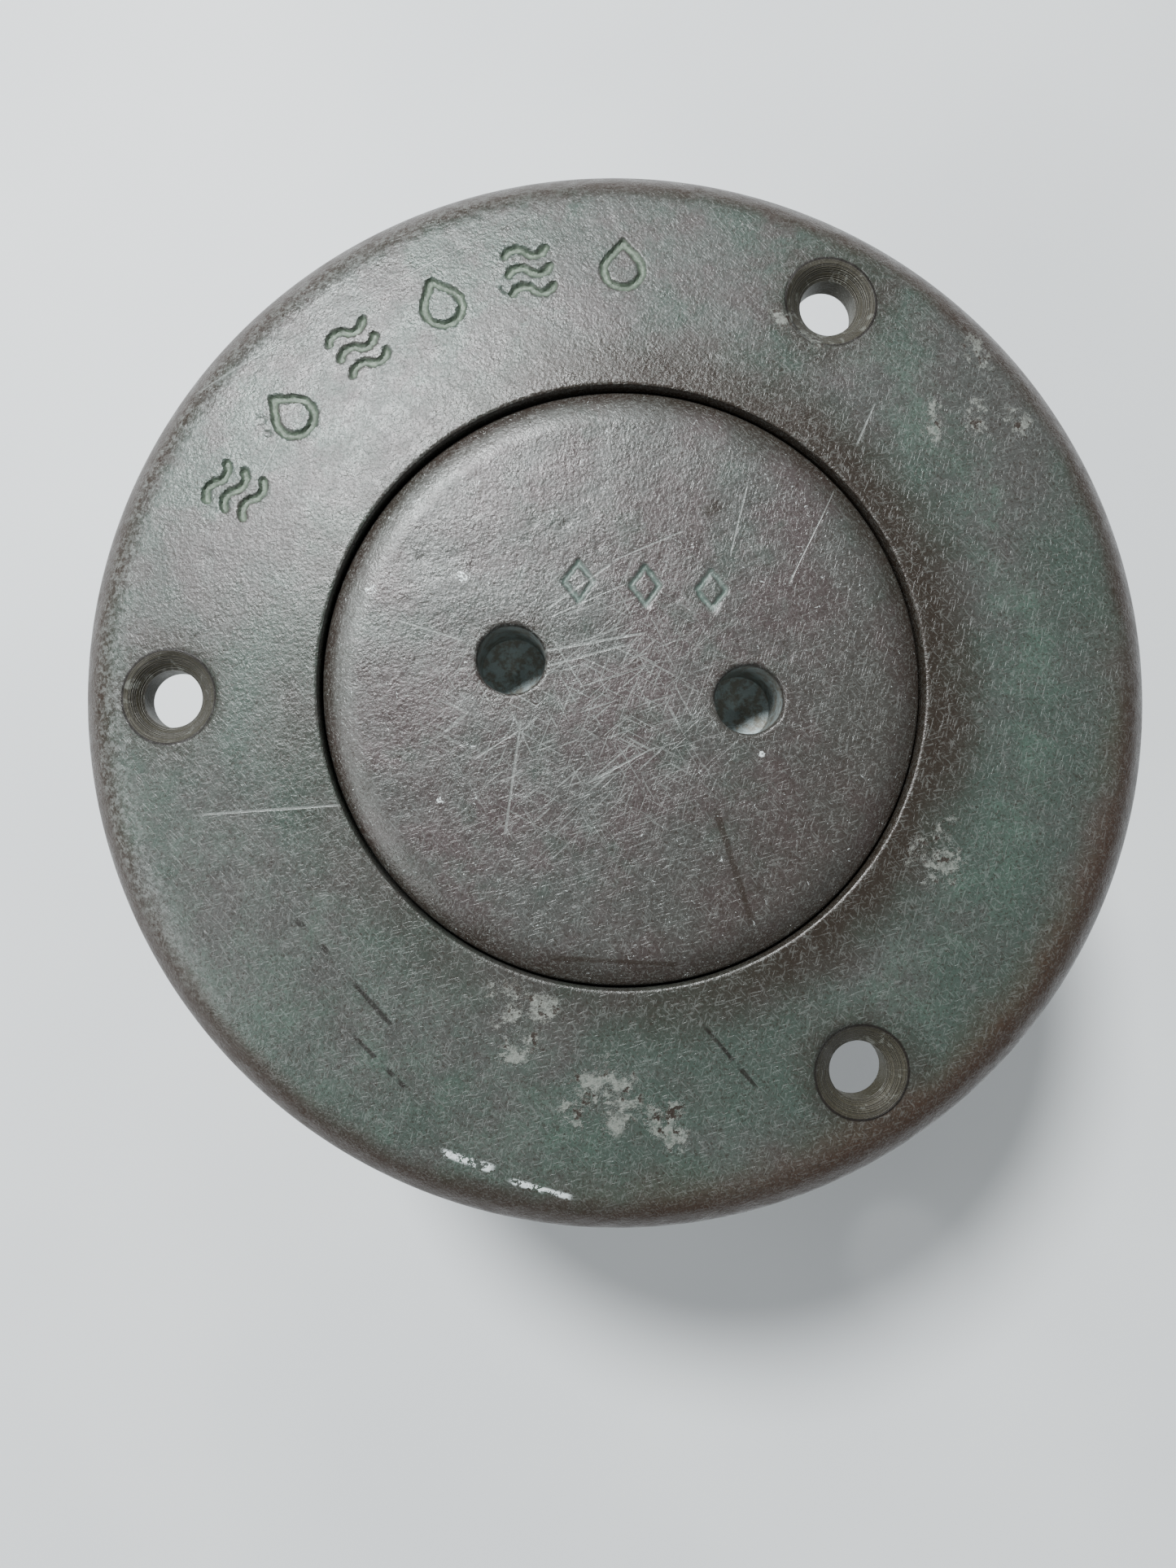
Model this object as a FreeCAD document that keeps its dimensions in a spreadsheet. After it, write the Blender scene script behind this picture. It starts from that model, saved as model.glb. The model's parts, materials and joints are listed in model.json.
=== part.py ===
"""Flush deck fill cap for a boat: a cast bronze deck flange with a hose tail, and a screw cap on a chain.

The origin is the centre of the flange's underside, which lies on the deck, and +Z is up.
All lengths are in millimetres and all angles in degrees.
"""
import FreeCAD, Part
import math
import os

import Sketcher
from FreeCAD import Placement, Rotation, Vector

SIZES = {
    # deck flange: a thin domed disc
    "flange_radius": 57.15,
    "rim_land": 1.0,            # height of the upright edge that stands on the deck
    "rim_inner_radius": 52.5,   # where the rounded rim meets the crown
    "rim_inner_height": 3.94,
    "rim_bend": 6.6,
    "crown_bend": 391.0,        # nearly a sphere centred on the axis
    "opening_radius": 31.55,
    "opening_height": 6.2,      # top of the opening's wall
    "opening_edge": 0.4,
    "relief_inner_radius": 38.5,  # shallow recess in the underside, for bedding compound
    "relief_outer_radius": 54.6,
    "relief_depth": 1.2,
    "screw_pad_radius": 6.6,    # islands of full thickness round the screw holes
    # three countersunk screw holes
    "screw_circle_radius": 47.4,
    "screw_hole_radius": 3.05,
    "countersink_floor": 2.8,   # height at which the 45 degree cone meets the hole
    "countersink_reach": 5.0,   # height of the cone cutter above that
    "screw_start_angle": 61.6,
    # engraved marks between two of the screw holes
    "mark_radius": 45.6,
    "mark_pitch_angle": 12.7,
    "mark_depth": 0.55,
    "mark_lift": 0.4,           # height of the marks' sketch plane above the crown
    "mark_stroke": 0.9,
    "drop_ball_radius": 2.5,
    "drop_half_height": 3.4,
    "wave_bend": 1.35,
    "wave_half_angle": 55.0,
    "wave_spacing": 2.2,
    # seat and thread inside the neck
    "seat_depth": 1.8,
    "thread_pitch": 3.0,
    "thread_minor_radius": 26.2,
    "thread_groove_radius": 27.8,
    "thread_mouth_radius": 28.2,
    "thread_mouth_depth": 3.8,
    "thread_end_depth": 16.5,
    "thread_relief_radius": 28.4,
    "thread_relief_depth": 19.5,
    "throat_radius": 22.0,
    "throat_depth": 26.0,
    # outside of the neck and hose tail
    "collar_radius": 35.5,
    "collar_depth": 4.0,
    "neck_radius": 31.6,
    "neck_shoulder_depth": 8.0,
    "neck_end_depth": 21.0,
    "tail_radius": 25.4,
    "tail_start_depth": 29.0,
    "barb_start_depth": 46.0,
    "barb_pitch": 7.0,
    "barb_land": 2.6,
    "barb_step": 0.9,
    "tail_end_depth": 76.0,
    "tail_chamfer": 1.2,
    # lug for the bonding wire
    "lug_radius": 4.6,
    "lug_face": 36.5,
    "lug_root": 30.0,
    "lug_depth": 14.0,
    "lug_hole_radius": 2.0,
    "lug_hole_length": 6.0,
    # cap
    "cap_radius": 31.25,
    "cap_edge_height": 4.9,
    "cap_crown_radius": 26.8,
    "cap_crown_bend": 700.0,
    "cap_top_height": 7.0,
    "cap_edge_bend": 7.0,
    "cap_corner_round": 0.7,
    "head_underside": 1.0,
    "plug_root_radius": 25.9,
    "plug_thread_radius": 27.5,
    "plug_thread_depth": 3.5,
    "plug_end_depth": 15.5,
    "plug_chamfer": 1.2,
    "plug_bore_radius": 22.4,
    "plate_underside": 1.3,
    # spanner holes and the bosses under them
    "spanner_pitch": 24.9,
    "spanner_shift_x": 0.7,       # the pair is drilled a little off the axis
    "spanner_shift_y": 0.3,
    "spanner_hole_radius": 3.5,
    "spanner_hole_depth": 8.0,
    "spanner_angle": -9.45,
    "spanner_boss_radius": 5.3,
    "spanner_boss_depth": 4.6,
    "drill_point_angle": 118.0,
    # stamped lozenges on the cap
    "stamp_row_height": 10.1,     # of the middle stamp, along Y
    "stamp_fall": 0.42,           # how much lower each stamp sits than the one on its left
    "stamp_spacing": 6.9,
    "stamp_shift": 2.25,
    "stamp_half_width": 1.8,
    "stamp_half_height": 2.4,
    "stamp_stroke": 0.62,
    "stamp_depth": 0.45,
    "stamp_lift": 0.3,
    # sealing ring under the cap's head
    "ring_radius": 29.3,
    "ring_section_radius": 1.3,
    "ring_height": -0.4,
    # swivel under the cap
    "swivel_boss_radius": 6.0,
    "swivel_boss_depth": 4.0,
    "swivel_tap_radius": 2.05,
    "swivel_tap_length": 6.5,
    "swivel_shank_radius": 2.0,
    "swivel_shank_length": 6.0,
    "swivel_head_radius": 3.0,
    "swivel_head_depth": 6.4,
    "swivel_head_thickness": 1.8,
    "clevis_gap": 0.25,
    "clevis_plate": 1.8,
    "clevis_half_width": 5.2,
    "clevis_inner_half": 3.6,
    "clevis_depth": 15.0,
    "clevis_thickness": 6.0,
    "clevis_hole_radius": 2.06,
    "pin_radius": 1.0,
    "pin_depth": 12.6,
    "pin_head_radius": 1.7,
    "pin_head_thickness": 0.7,
    # chain
    "link_wire_radius": 0.8,
    "link_bend": 2.3,
    "link_straight": 4.0,
    "link_play": 0.15,
    # toggle that stops the chain at the throat
    "toggle_length": 46.0,
    "toggle_radius": 1.6,
    "toggle_tilt": 65.0,
    # bonding screw and washer
    "bond_shank_radius": 1.95,
    "bond_shank_length": 6.2,
    "bond_head_radius": 3.9,
    "bond_head_thickness": 2.4,
    "bond_slot_width": 1.0,
    "bond_slot_depth": 1.1,
    "washer_radius": 4.4,
    "washer_hole_radius": 2.1,
    "washer_thickness": 0.8,
    "washer_notch": 0.5,
}

SCREW_COUNT = 3
MARK_PAIRS = 3
WAVES_PER_MARK = 3
STAMP_COUNT = 3
BARB_COUNT = 4
LINK_COUNT = 4
WASHER_NOTCHES = 12
FLANK_SLOPE = 0.36          # thread flank: half-width gained per millimetre of depth
GROOVE_FLOOR_HALF = 0.45    # half-width of the plug's thread groove at its floor
FLANK_PLAY = 0.2            # free space along the axis on each flank
CUT_MARGIN = 0.6            # how far a cutter stands out of the surface it cuts


def crown_drop(radius, bend):
    """How far a sphere of radius bend, centred on the axis, falls from its top to this radius."""
    return bend - math.sqrt(bend**2 - radius**2)


# the cap's crown is a sphere whose top lies on the axis, so its edge height follows
SIZES["cap_crown_height"] = SIZES["cap_top_height"] - crown_drop(
    SIZES["cap_crown_radius"], SIZES["cap_crown_bend"]
)

DOC = FreeCAD.newDocument("deck_fill_cap")
SUB_PARTS = []


def fill_sheet():
    """Write every driving size into the sheet and name its cell."""
    sheet = DOC.addObject("Spreadsheet::Sheet", "sizes")
    for row, (name, value) in enumerate(SIZES.items(), start=1):
        cell = f"B{row}"
        sheet.set(f"A{row}", name)
        sheet.set(cell, str(value))
        sheet.setAlias(cell, name)
    DOC.recompute()


def number(text):
    """The value of a sum of sizes, such as 'plug_end_depth - plug_chamfer'."""
    total = 0.0
    sign = 1
    for word in text.split():
        if word in ("+", "-"):
            sign = 1 if word == "+" else -1
        else:
            total += sign * (SIZES[word] if word in SIZES else float(word))
            sign = 1
    return total


def formula(text):
    """The same sum as an expression on the sheet's cells."""
    return " ".join(f"sizes.{word}" if word in SIZES else word for word in text.split())


def bind(item, **sums):
    """Bind properties of an object to sums of sizes."""
    for name, text in sums.items():
        item.setExpression(name, formula(text))


def origin_item(body, role):
    """A plane or axis of a body's own origin."""
    return next(item for item in body.Origin.OriginFeatures if item.Role == role)


def new_body(name):
    body = DOC.addObject("PartDesign::Body", name)
    body.Label = name
    SUB_PARTS.append(body)
    return body


def new_sketch(body, name, plane, offset=None):
    sketch = body.newObject("Sketcher::SketchObject", name)
    sketch.AttachmentSupport = [(origin_item(body, plane), "")]
    sketch.MapMode = "FlatFace"
    if offset:
        sketch.AttachmentOffset = offset
    return sketch


def hold(sketch, kind, geometry, point, text):
    """Fix one coordinate of a point to a sum of sizes, from the sketch's origin."""
    value = number(text)
    origin = (-1, 1)
    target = (geometry, point)
    if abs(value) < 1e-9:
        axis = -2 if kind == "DistanceX" else -1
        sketch.addConstraint(Sketcher.Constraint("PointOnObject", geometry, point, axis))
        return
    ends = origin + target if value > 0 else target + origin
    index = sketch.addConstraint(Sketcher.Constraint(kind, *ends, abs(value)))
    sketch.setExpression(f"Constraints[{index}]", formula(text) if value > 0 else f"-({formula(text)})")


def arc_between(start, end, bend):
    """An arc of radius |bend|. It turns left from start to end when bend is positive."""
    chord = end - start
    half = chord.Length / 2
    rise = math.sqrt(bend * bend - half * half)
    left = Vector(-chord.y, chord.x, 0).normalize()
    centre = (start + end) / 2 + left * math.copysign(rise, bend)
    first, last = (start, end) if bend > 0 else (end, start)
    circle = Part.Circle(centre, Vector(0, 0, 1), abs(bend))
    return Part.ArcOfCircle(circle, circle.parameter(first), circle.parameter(last))


def outline(sketch, corners):
    """Draw a closed outline, held by the sheet's sizes.

    A corner is (x, y), or (x, y, bend size, turn) where the edge that leaves it is an arc:
    turn is 1 where the arc turns left and -1 where it turns right.
    """
    places = [Vector(number(corner[0]), number(corner[1]), 0) for corner in corners]
    starts, ends = [], []
    for index, corner in enumerate(corners):
        start, end = places[index], places[(index + 1) % len(places)]
        if len(corner) == 2:
            edge = sketch.addGeometry(Part.LineSegment(start, end), False)
            starts.append((edge, 1))
            ends.append((edge, 2))
            continue
        bend, turn = corner[2:]
        edge = sketch.addGeometry(arc_between(start, end, number(bend) * turn), False)
        starts.append((edge, 1 if turn > 0 else 2))
        ends.append((edge, 2 if turn > 0 else 1))
        index_bend = sketch.addConstraint(Sketcher.Constraint("Radius", edge, number(bend)))
        sketch.setExpression(f"Constraints[{index_bend}]", formula(bend))
    for index, corner in enumerate(corners):
        sketch.addConstraint(Sketcher.Constraint("Coincident", *ends[index - 1], *starts[index]))
        hold(sketch, "DistanceX", *starts[index], corner[0])
        hold(sketch, "DistanceY", *starts[index], corner[1])


def ring(sketch, radius, x="0", y="0"):
    """Draw a circle, held by the sheet's sizes."""
    centre = Vector(number(x), number(y), 0)
    edge = sketch.addGeometry(Part.Circle(centre, Vector(0, 0, 1), number(radius)), False)
    hold(sketch, "DistanceX", edge, 3, x)
    hold(sketch, "DistanceY", edge, 3, y)
    index = sketch.addConstraint(Sketcher.Constraint("Radius", edge, number(radius)))
    sketch.setExpression(f"Constraints[{index}]", formula(radius))


def feature(body, kind, name, sketch, **settings):
    """Add a PartDesign feature made from a sketch."""
    item = body.newObject(f"PartDesign::{kind}", name)
    item.Profile = sketch
    for setting, value in settings.items():
        setattr(item, setting, value)
    return item


def turned(body, kind, name, sketch, axis=None):
    """Add a full Revolution or Groove, about +Z unless another axis is given."""
    reference = axis or (origin_item(body, "Z_Axis"), [""])
    item = feature(body, kind, name, sketch, ReferenceAxis=reference, Angle=360)
    DOC.recompute()
    return item


def repeat(body, name, originals, count, angle):
    """Repeat features round +Z over the whole angle given."""
    item = body.newObject("PartDesign::PolarPattern", name)
    item.Originals = originals
    item.Axis = (origin_item(body, "Z_Axis"), [""])
    item.Angle = angle
    item.Occurrences = count
    body.Tip = item
    DOC.recompute()
    return item


def round_edges(body, name, size, chosen):
    """Round the edges of the body's tip that chosen(edge) accepts."""
    base = body.Tip
    names = [f"Edge{i}" for i, edge in enumerate(base.Shape.Edges, start=1) if chosen(edge)]
    item = body.newObject("PartDesign::Fillet", name)
    item.Base = (base, names)
    item.setExpression("Radius", formula(size))
    DOC.recompute()
    return item


def circle_at(radius, height, tolerance=0.05):
    """A test for a full circle about the axis at this radius and height."""
    def chosen(edge):
        box = edge.BoundBox
        flat = box.ZLength < tolerance and abs(box.ZMin - height) < tolerance
        return flat and abs(box.XMax - radius) < tolerance and edge.isClosed()
    return chosen


def on_circle(radius, angle):
    return radius * math.cos(math.radians(angle)), radius * math.sin(math.radians(angle))


def cut_thread(body, name, profile, start, length):
    """Cut a right-hand helical groove with the trapezium profile, from depth start upwards."""
    sketch = new_sketch(body, f"{name}_profile", "XZ_Plane")
    points = [Vector(radius, height - start, 0) for radius, height in profile]
    for index, point in enumerate(points):
        sketch.addGeometry(Part.LineSegment(point, points[(index + 1) % len(points)]), False)
    DOC.recompute()
    helix = feature(body, "SubtractiveHelix", name, sketch, Mode="pitch-height-angle", Angle=0)
    helix.ReferenceAxis = (origin_item(body, "Z_Axis"), [""])
    helix.Height = length
    helix.Pitch = number("thread_pitch")
    helix.LeftHanded = False
    bind(helix, Pitch="thread_pitch")
    DOC.recompute()


def plug_groove_half(radius):
    """Half-width of the plug's thread groove at a radius."""
    return GROOVE_FLOOR_HALF + (radius - number("plug_root_radius")) * FLANK_SLOPE


def plug_ridge_half(radius):
    """Half-width of the plug's thread ridge at a radius."""
    return number("thread_pitch") / 2 - plug_groove_half(radius)


# ---------------------------------------------------------------- deck flange

def barb_corners():
    """The hose tail's barbs: an upright step, a land and a taper, all at the tail's radius."""
    corners = []
    for index in range(BARB_COUNT):
        top = " + ".join(["barb_start_depth"] + ["barb_pitch"] * index)
        depth = "0 - " + top.replace("+", "-")
        corners += [
            ("tail_radius - barb_step", depth),
            ("tail_radius", depth),
            ("tail_radius", depth + " - barb_land"),
        ]
    return corners


def flange_section():
    """The casting's half section, clockwise from the foot of the opening's wall."""
    return [
        ("opening_radius", "0 - seat_depth"),
        ("opening_radius", "opening_height", "crown_bend", -1),
        ("rim_inner_radius", "rim_inner_height", "rim_bend", -1),
        ("flange_radius", "rim_land"),
        ("flange_radius", "0"),
        ("collar_radius", "0"),
        ("collar_radius", "0 - collar_depth"),
        ("neck_radius", "0 - neck_shoulder_depth"),
        ("neck_radius", "0 - neck_end_depth"),
        ("tail_radius", "0 - tail_start_depth"),
        ("tail_radius", "0 - barb_start_depth + barb_land"),
        *barb_corners(),
        ("tail_radius - tail_chamfer", "0 - tail_end_depth"),
        ("throat_radius", "0 - tail_end_depth"),
        ("throat_radius", "0 - throat_depth"),
        ("thread_relief_radius", "0 - thread_relief_depth"),
        ("thread_relief_radius", "0 - thread_end_depth"),
        ("thread_minor_radius", "0 - thread_end_depth"),
        ("thread_minor_radius", "0 - thread_mouth_depth"),
        ("thread_mouth_radius", "0 - seat_depth"),
    ]


def cut_screw_holes(body):
    x, y = on_circle(number("screw_circle_radius"), number("screw_start_angle"))
    sketch = new_sketch(body, "screw_hole_section", "XZ_Plane", Placement(Vector(x, 0, -y), Rotation()))
    outline(sketch, [
        ("0", f"0 - {CUT_MARGIN}"),
        ("screw_hole_radius", f"0 - {CUT_MARGIN}"),
        ("screw_hole_radius", "countersink_floor"),
        ("screw_hole_radius + countersink_reach", "countersink_floor + countersink_reach"),
        ("0", "countersink_floor + countersink_reach"),
    ])
    hole = turned(body, "Groove", "screw_hole", sketch, (sketch, ["V_Axis"]))
    repeat(body, "screw_holes", [hole], SCREW_COUNT, 360)


def cut_underside_relief(body):
    """A shallow ring-shaped recess that leaves a round pad at each screw hole."""
    sketch = new_sketch(body, "relief_plan", "XY_Plane")
    ring(sketch, "relief_outer_radius")
    ring(sketch, "relief_inner_radius")
    for index in range(SCREW_COUNT):
        angle = number("screw_start_angle") + 360 * index / SCREW_COUNT
        x, y = on_circle(number("screw_circle_radius"), angle)
        pad = Part.Circle(Vector(x, y, 0), Vector(0, 0, 1), number("screw_pad_radius"))
        edge = sketch.addGeometry(pad, False)
        limit = sketch.addConstraint(Sketcher.Constraint("Radius", edge, number("screw_pad_radius")))
        sketch.setExpression(f"Constraints[{limit}]", "sizes.screw_pad_radius")
    recess = feature(body, "Pocket", "underside_relief", sketch, Reversed=True)
    bind(recess, Length="relief_depth")
    DOC.recompute()


def mark_placement(angle):
    """A plane parallel to the crown at the marks' radius and a little above it, with +Y outwards."""
    radius = number("mark_radius")
    bend = number("crown_bend")
    slope = math.degrees(math.asin(radius / bend))
    drop = crown_drop(radius, bend) - crown_drop(number("opening_radius"), bend)
    x, y = on_circle(radius, angle)
    turn = Rotation(Vector(0, 0, 1), angle - 90) * Rotation(Vector(1, 0, 0), -slope)
    lift = turn.multVec(Vector(0, 0, number("mark_lift")))
    return Placement(Vector(x, y, number("opening_height") - drop) + lift, turn)


def draw_drop(sketch, inset):
    """A drop with its point outwards: two lines from the point, tangent to the ball."""
    radius = number("drop_ball_radius") - inset
    centre = number("drop_ball_radius") - number("drop_half_height")
    reach = (number("drop_half_height") - centre) * radius / number("drop_ball_radius")
    lean = math.acos(radius / reach)
    tip = Vector(0, centre + reach, 0)
    right = Vector(radius * math.sin(lean), centre + radius * math.cos(lean), 0)
    left = Vector(-right.x, right.y, 0)
    ball = Part.Circle(Vector(0, centre, 0), Vector(0, 0, 1), radius)
    sketch.addGeometry(Part.ArcOfCircle(ball, math.pi / 2 + lean, math.pi * 2.5 - lean), False)
    sketch.addGeometry(Part.LineSegment(right, tip), False)
    sketch.addGeometry(Part.LineSegment(tip, left), False)


def draw_wave(sketch, height):
    """One wavy stroke: a crest and a trough of equal bend, with round ends."""
    bend = number("wave_bend")
    half = math.radians(number("wave_half_angle"))
    stroke = number("mark_stroke") / 2
    span = 2 * bend * math.sin(half)
    sink = bend * math.cos(half)
    up = Vector(0, 0, 1)
    quarter = math.pi / 2
    for offset in (stroke, -stroke):
        crest = Part.Circle(Vector(-span / 2, height - sink, 0), up, bend + offset)
        trough = Part.Circle(Vector(span / 2, height + sink, 0), up, bend - offset)
        sketch.addGeometry(Part.ArcOfCircle(crest, quarter - half, quarter + half), False)
        sketch.addGeometry(Part.ArcOfCircle(trough, 3 * quarter - half, 3 * quarter + half), False)
    left = Part.Circle(Vector(-span, height, 0), up, stroke)
    right = Part.Circle(Vector(span, height, 0), up, stroke)
    sketch.addGeometry(Part.ArcOfCircle(left, quarter + half, 3 * quarter + half), False)
    sketch.addGeometry(Part.ArcOfCircle(right, -quarter + half, quarter + half), False)


def engrave(body, name, angle, draw):
    """Engrave one kind of mark and repeat it at every second place of the row."""
    sketch = new_sketch(body, f"{name}_plan", "XY_Plane", mark_placement(angle))
    draw(sketch)
    mark = feature(body, "Pocket", name, sketch)
    bind(mark, Length="mark_depth + mark_lift")
    DOC.recompute()
    repeat(body, f"{name}s", [mark], MARK_PAIRS, number("mark_pitch_angle") * 2 * (MARK_PAIRS - 1))


def draw_drop_mark(sketch):
    draw_drop(sketch, 0)
    draw_drop(sketch, number("mark_stroke"))


def draw_wave_mark(sketch):
    for index in range(WAVES_PER_MARK):
        draw_wave(sketch, number("wave_spacing") * (index - (WAVES_PER_MARK - 1) / 2))


def cut_marks(body):
    """Six engraved marks, drops and waves in turn, centred between two screw holes."""
    middle = number("screw_start_angle") + 180 / SCREW_COUNT
    first = middle - number("mark_pitch_angle") * (MARK_PAIRS - 0.5)
    engrave(body, "drop_mark", first, draw_drop_mark)
    engrave(body, "wave_mark", first + number("mark_pitch_angle"), draw_wave_mark)


def add_bonding_lug(body):
    """A round lug on the -Y side of the neck, drilled and tapped for the bonding screw."""
    face = Placement(Vector(0, 0, number("lug_face")), Rotation())
    plan = new_sketch(body, "lug_plan", "XZ_Plane", face)
    ring(plan, "lug_radius", "0", "0 - lug_depth")
    lug = feature(body, "Pad", "lug", plan, Reversed=True)
    bind(lug, Length="lug_face - lug_root")
    DOC.recompute()
    drill = new_sketch(body, "lug_drill", "XZ_Plane", face)
    ring(drill, "lug_hole_radius", "0", "0 - lug_depth")
    hole = feature(body, "Pocket", "lug_hole", drill)
    bind(hole, Length="lug_hole_length")
    DOC.recompute()


def cut_neck_thread(body):
    """The neck's thread groove, half a pitch from the plug's, so that the plug's ridge lies in it."""
    inner = number("thread_minor_radius")
    outer = number("thread_groove_radius")
    inside = inner - CUT_MARGIN
    half_outer = plug_ridge_half(outer) + FLANK_PLAY
    half_inside = plug_ridge_half(inside) + FLANK_PLAY
    profile = [(inside, -half_inside), (outer, -half_outer), (outer, half_outer), (inside, half_inside)]
    start = number("thread_end_depth") + number("thread_pitch") / 2
    cut_thread(body, "neck_thread", profile, start, start - number("seat_depth"))


def make_deck_flange():
    body = new_body("deck_flange")
    section = new_sketch(body, "flange_section", "XZ_Plane")
    outline(section, flange_section())
    turned(body, "Revolution", "casting", section)
    edge = circle_at(number("opening_radius"), number("opening_height"))
    round_edges(body, "opening_round", "opening_edge", edge)
    cut_underside_relief(body)
    add_bonding_lug(body)
    cut_neck_thread(body)
    cut_screw_holes(body)
    cut_marks(body)


# ---------------------------------------------------------------- cap

def cap_section():
    """The cap's half section, clockwise from the middle of its top."""
    return [
        ("0", "cap_top_height", "cap_crown_bend", -1),
        ("cap_crown_radius", "cap_crown_height", "cap_edge_bend", -1),
        ("cap_radius", "cap_edge_height"),
        ("cap_radius", "head_underside"),
        ("plug_root_radius", "head_underside"),
        ("plug_root_radius", "0 - plug_thread_depth"),
        ("plug_thread_radius", "0 - plug_thread_depth"),
        ("plug_thread_radius", "0 - plug_end_depth + plug_chamfer"),
        ("plug_thread_radius - plug_chamfer", "0 - plug_end_depth"),
        ("plug_bore_radius", "0 - plug_end_depth"),
        ("plug_bore_radius", "plate_underside"),
        ("0", "plate_underside"),
    ]


def spanner_places():
    half = number("spanner_pitch") / 2
    x, y = on_circle(half, number("spanner_angle"))
    shift_x, shift_y = number("spanner_shift_x"), number("spanner_shift_y")
    return [(shift_x + x, shift_y + y), (shift_x - x, shift_y - y)]


def add_bosses(body):
    """Bosses under the plate: one for each spanner hole and one for the swivel."""
    plate = Placement(Vector(0, 0, number("plate_underside")), Rotation())
    for name, size, depth, places in (
        ("spanner_bosses", "spanner_boss_radius", "spanner_boss_depth", spanner_places()),
        ("swivel_boss", "swivel_boss_radius", "swivel_boss_depth", [(0, 0)]),
    ):
        plan = new_sketch(body, f"{name}_plan", "XY_Plane", plate)
        for x, y in places:
            edge = plan.addGeometry(Part.Circle(Vector(x, y, 0), Vector(0, 0, 1), number(size)), False)
            limit = plan.addConstraint(Sketcher.Constraint("Radius", edge, number(size)))
            plan.setExpression(f"Constraints[{limit}]", formula(size))
        boss = feature(body, "Pad", name, plan, Reversed=True)
        bind(boss, Length=f"{depth} + plate_underside")
        DOC.recompute()


def drill_spanner_holes(body):
    top = Placement(Vector(0, 0, number("cap_top_height")), Rotation())
    plan = new_sketch(body, "spanner_holes_plan", "XY_Plane", top)
    radius = number("spanner_hole_radius")
    for x, y in spanner_places():
        edge = plan.addGeometry(Part.Circle(Vector(x, y, 0), Vector(0, 0, 1), radius), False)
        plan.addConstraint(Sketcher.Constraint("Radius", edge, radius))
    DOC.recompute()
    holes = feature(body, "Hole", "spanner_holes", plan, DepthType="Dimension", DrillPoint="Angled")
    holes.DrillPointAngle = number("drill_point_angle")
    holes.Threaded = False
    holes.Diameter = 2 * number("spanner_hole_radius")
    holes.setExpression("Diameter", "2 * sizes.spanner_hole_radius")
    bind(holes, Depth="spanner_hole_depth")
    DOC.recompute()


def drill_swivel_hole(body):
    """The tapped blind hole for the swivel screw, up from the boss."""
    face = Placement(Vector(0, 0, -number("swivel_boss_depth")), Rotation())
    plan = new_sketch(body, "swivel_tap_plan", "XY_Plane", face)
    ring(plan, "swivel_tap_radius")
    hole = feature(body, "Pocket", "swivel_tap", plan, Reversed=True)
    bind(hole, Length="swivel_tap_length")
    DOC.recompute()


def stamp_marks(body):
    """A row of small stamped lozenge outlines above the middle of the cap."""
    top = Placement(Vector(0, 0, number("cap_top_height + stamp_lift")), Rotation())
    plan = new_sketch(body, "stamp_plan", "XY_Plane", top)
    for index in range(STAMP_COUNT):
        place = index - (STAMP_COUNT - 1) / 2
        middle = number("stamp_shift") + number("stamp_spacing") * place
        row = number("stamp_row_height") - number("stamp_fall") * place
        for inset in (0, number("stamp_stroke")):
            wide = number("stamp_half_width") - inset
            high = number("stamp_half_height") * wide / number("stamp_half_width")
            corners = [(middle + wide, row), (middle, row + high), (middle - wide, row), (middle, row - high)]
            points = [Vector(x, y, 0) for x, y in corners]
            for turn, point in enumerate(points):
                plan.addGeometry(Part.LineSegment(point, points[(turn + 1) % len(points)]), False)
    stamp = feature(body, "Pocket", "stamps", plan)
    bind(stamp, Length="stamp_depth + stamp_lift")
    DOC.recompute()


def cut_plug_thread(body):
    inner = number("plug_root_radius")
    outside = number("plug_thread_radius") + CUT_MARGIN
    half_inner = plug_groove_half(inner)
    half_outside = plug_groove_half(outside)
    profile = [(inner, -half_inner), (outside, -half_outside), (outside, half_outside), (inner, half_inner)]
    start = number("thread_end_depth")
    cut_thread(body, "plug_thread", profile, start, start - number("seat_depth"))


def make_cap():
    body = new_body("cap")
    section = new_sketch(body, "cap_section", "XZ_Plane")
    outline(section, cap_section())
    turned(body, "Revolution", "cap_casting", section)
    edge = circle_at(number("cap_radius"), number("cap_edge_height"))
    round_edges(body, "cap_corner", "cap_corner_round", edge)
    add_bosses(body)
    drill_spanner_holes(body)
    drill_swivel_hole(body)
    stamp_marks(body)
    cut_plug_thread(body)


# ---------------------------------------------------------------- small parts

def primitive(kind, name, placement, **sums):
    item = DOC.addObject(f"Part::{kind}", name)
    bind(item, **sums)
    item.Placement = placement
    return item


def joined(name, pieces):
    """One solid made of overlapping primitives."""
    item = DOC.addObject("Part::MultiFuse", name)
    item.Shapes = pieces
    item.Label = name
    SUB_PARTS.append(item)
    return item


def place(x, y, z, axis=Vector(0, 0, 1), angle=0.0):
    return Placement(Vector(x, y, z), Rotation(axis, angle))


def make_sealing_ring():
    item = primitive("Torus", "sealing_ring", place(0, 0, number("ring_height")),
                     Radius1="ring_radius", Radius2="ring_section_radius")
    item.Label = "sealing_ring"
    SUB_PARTS.append(item)


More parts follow.
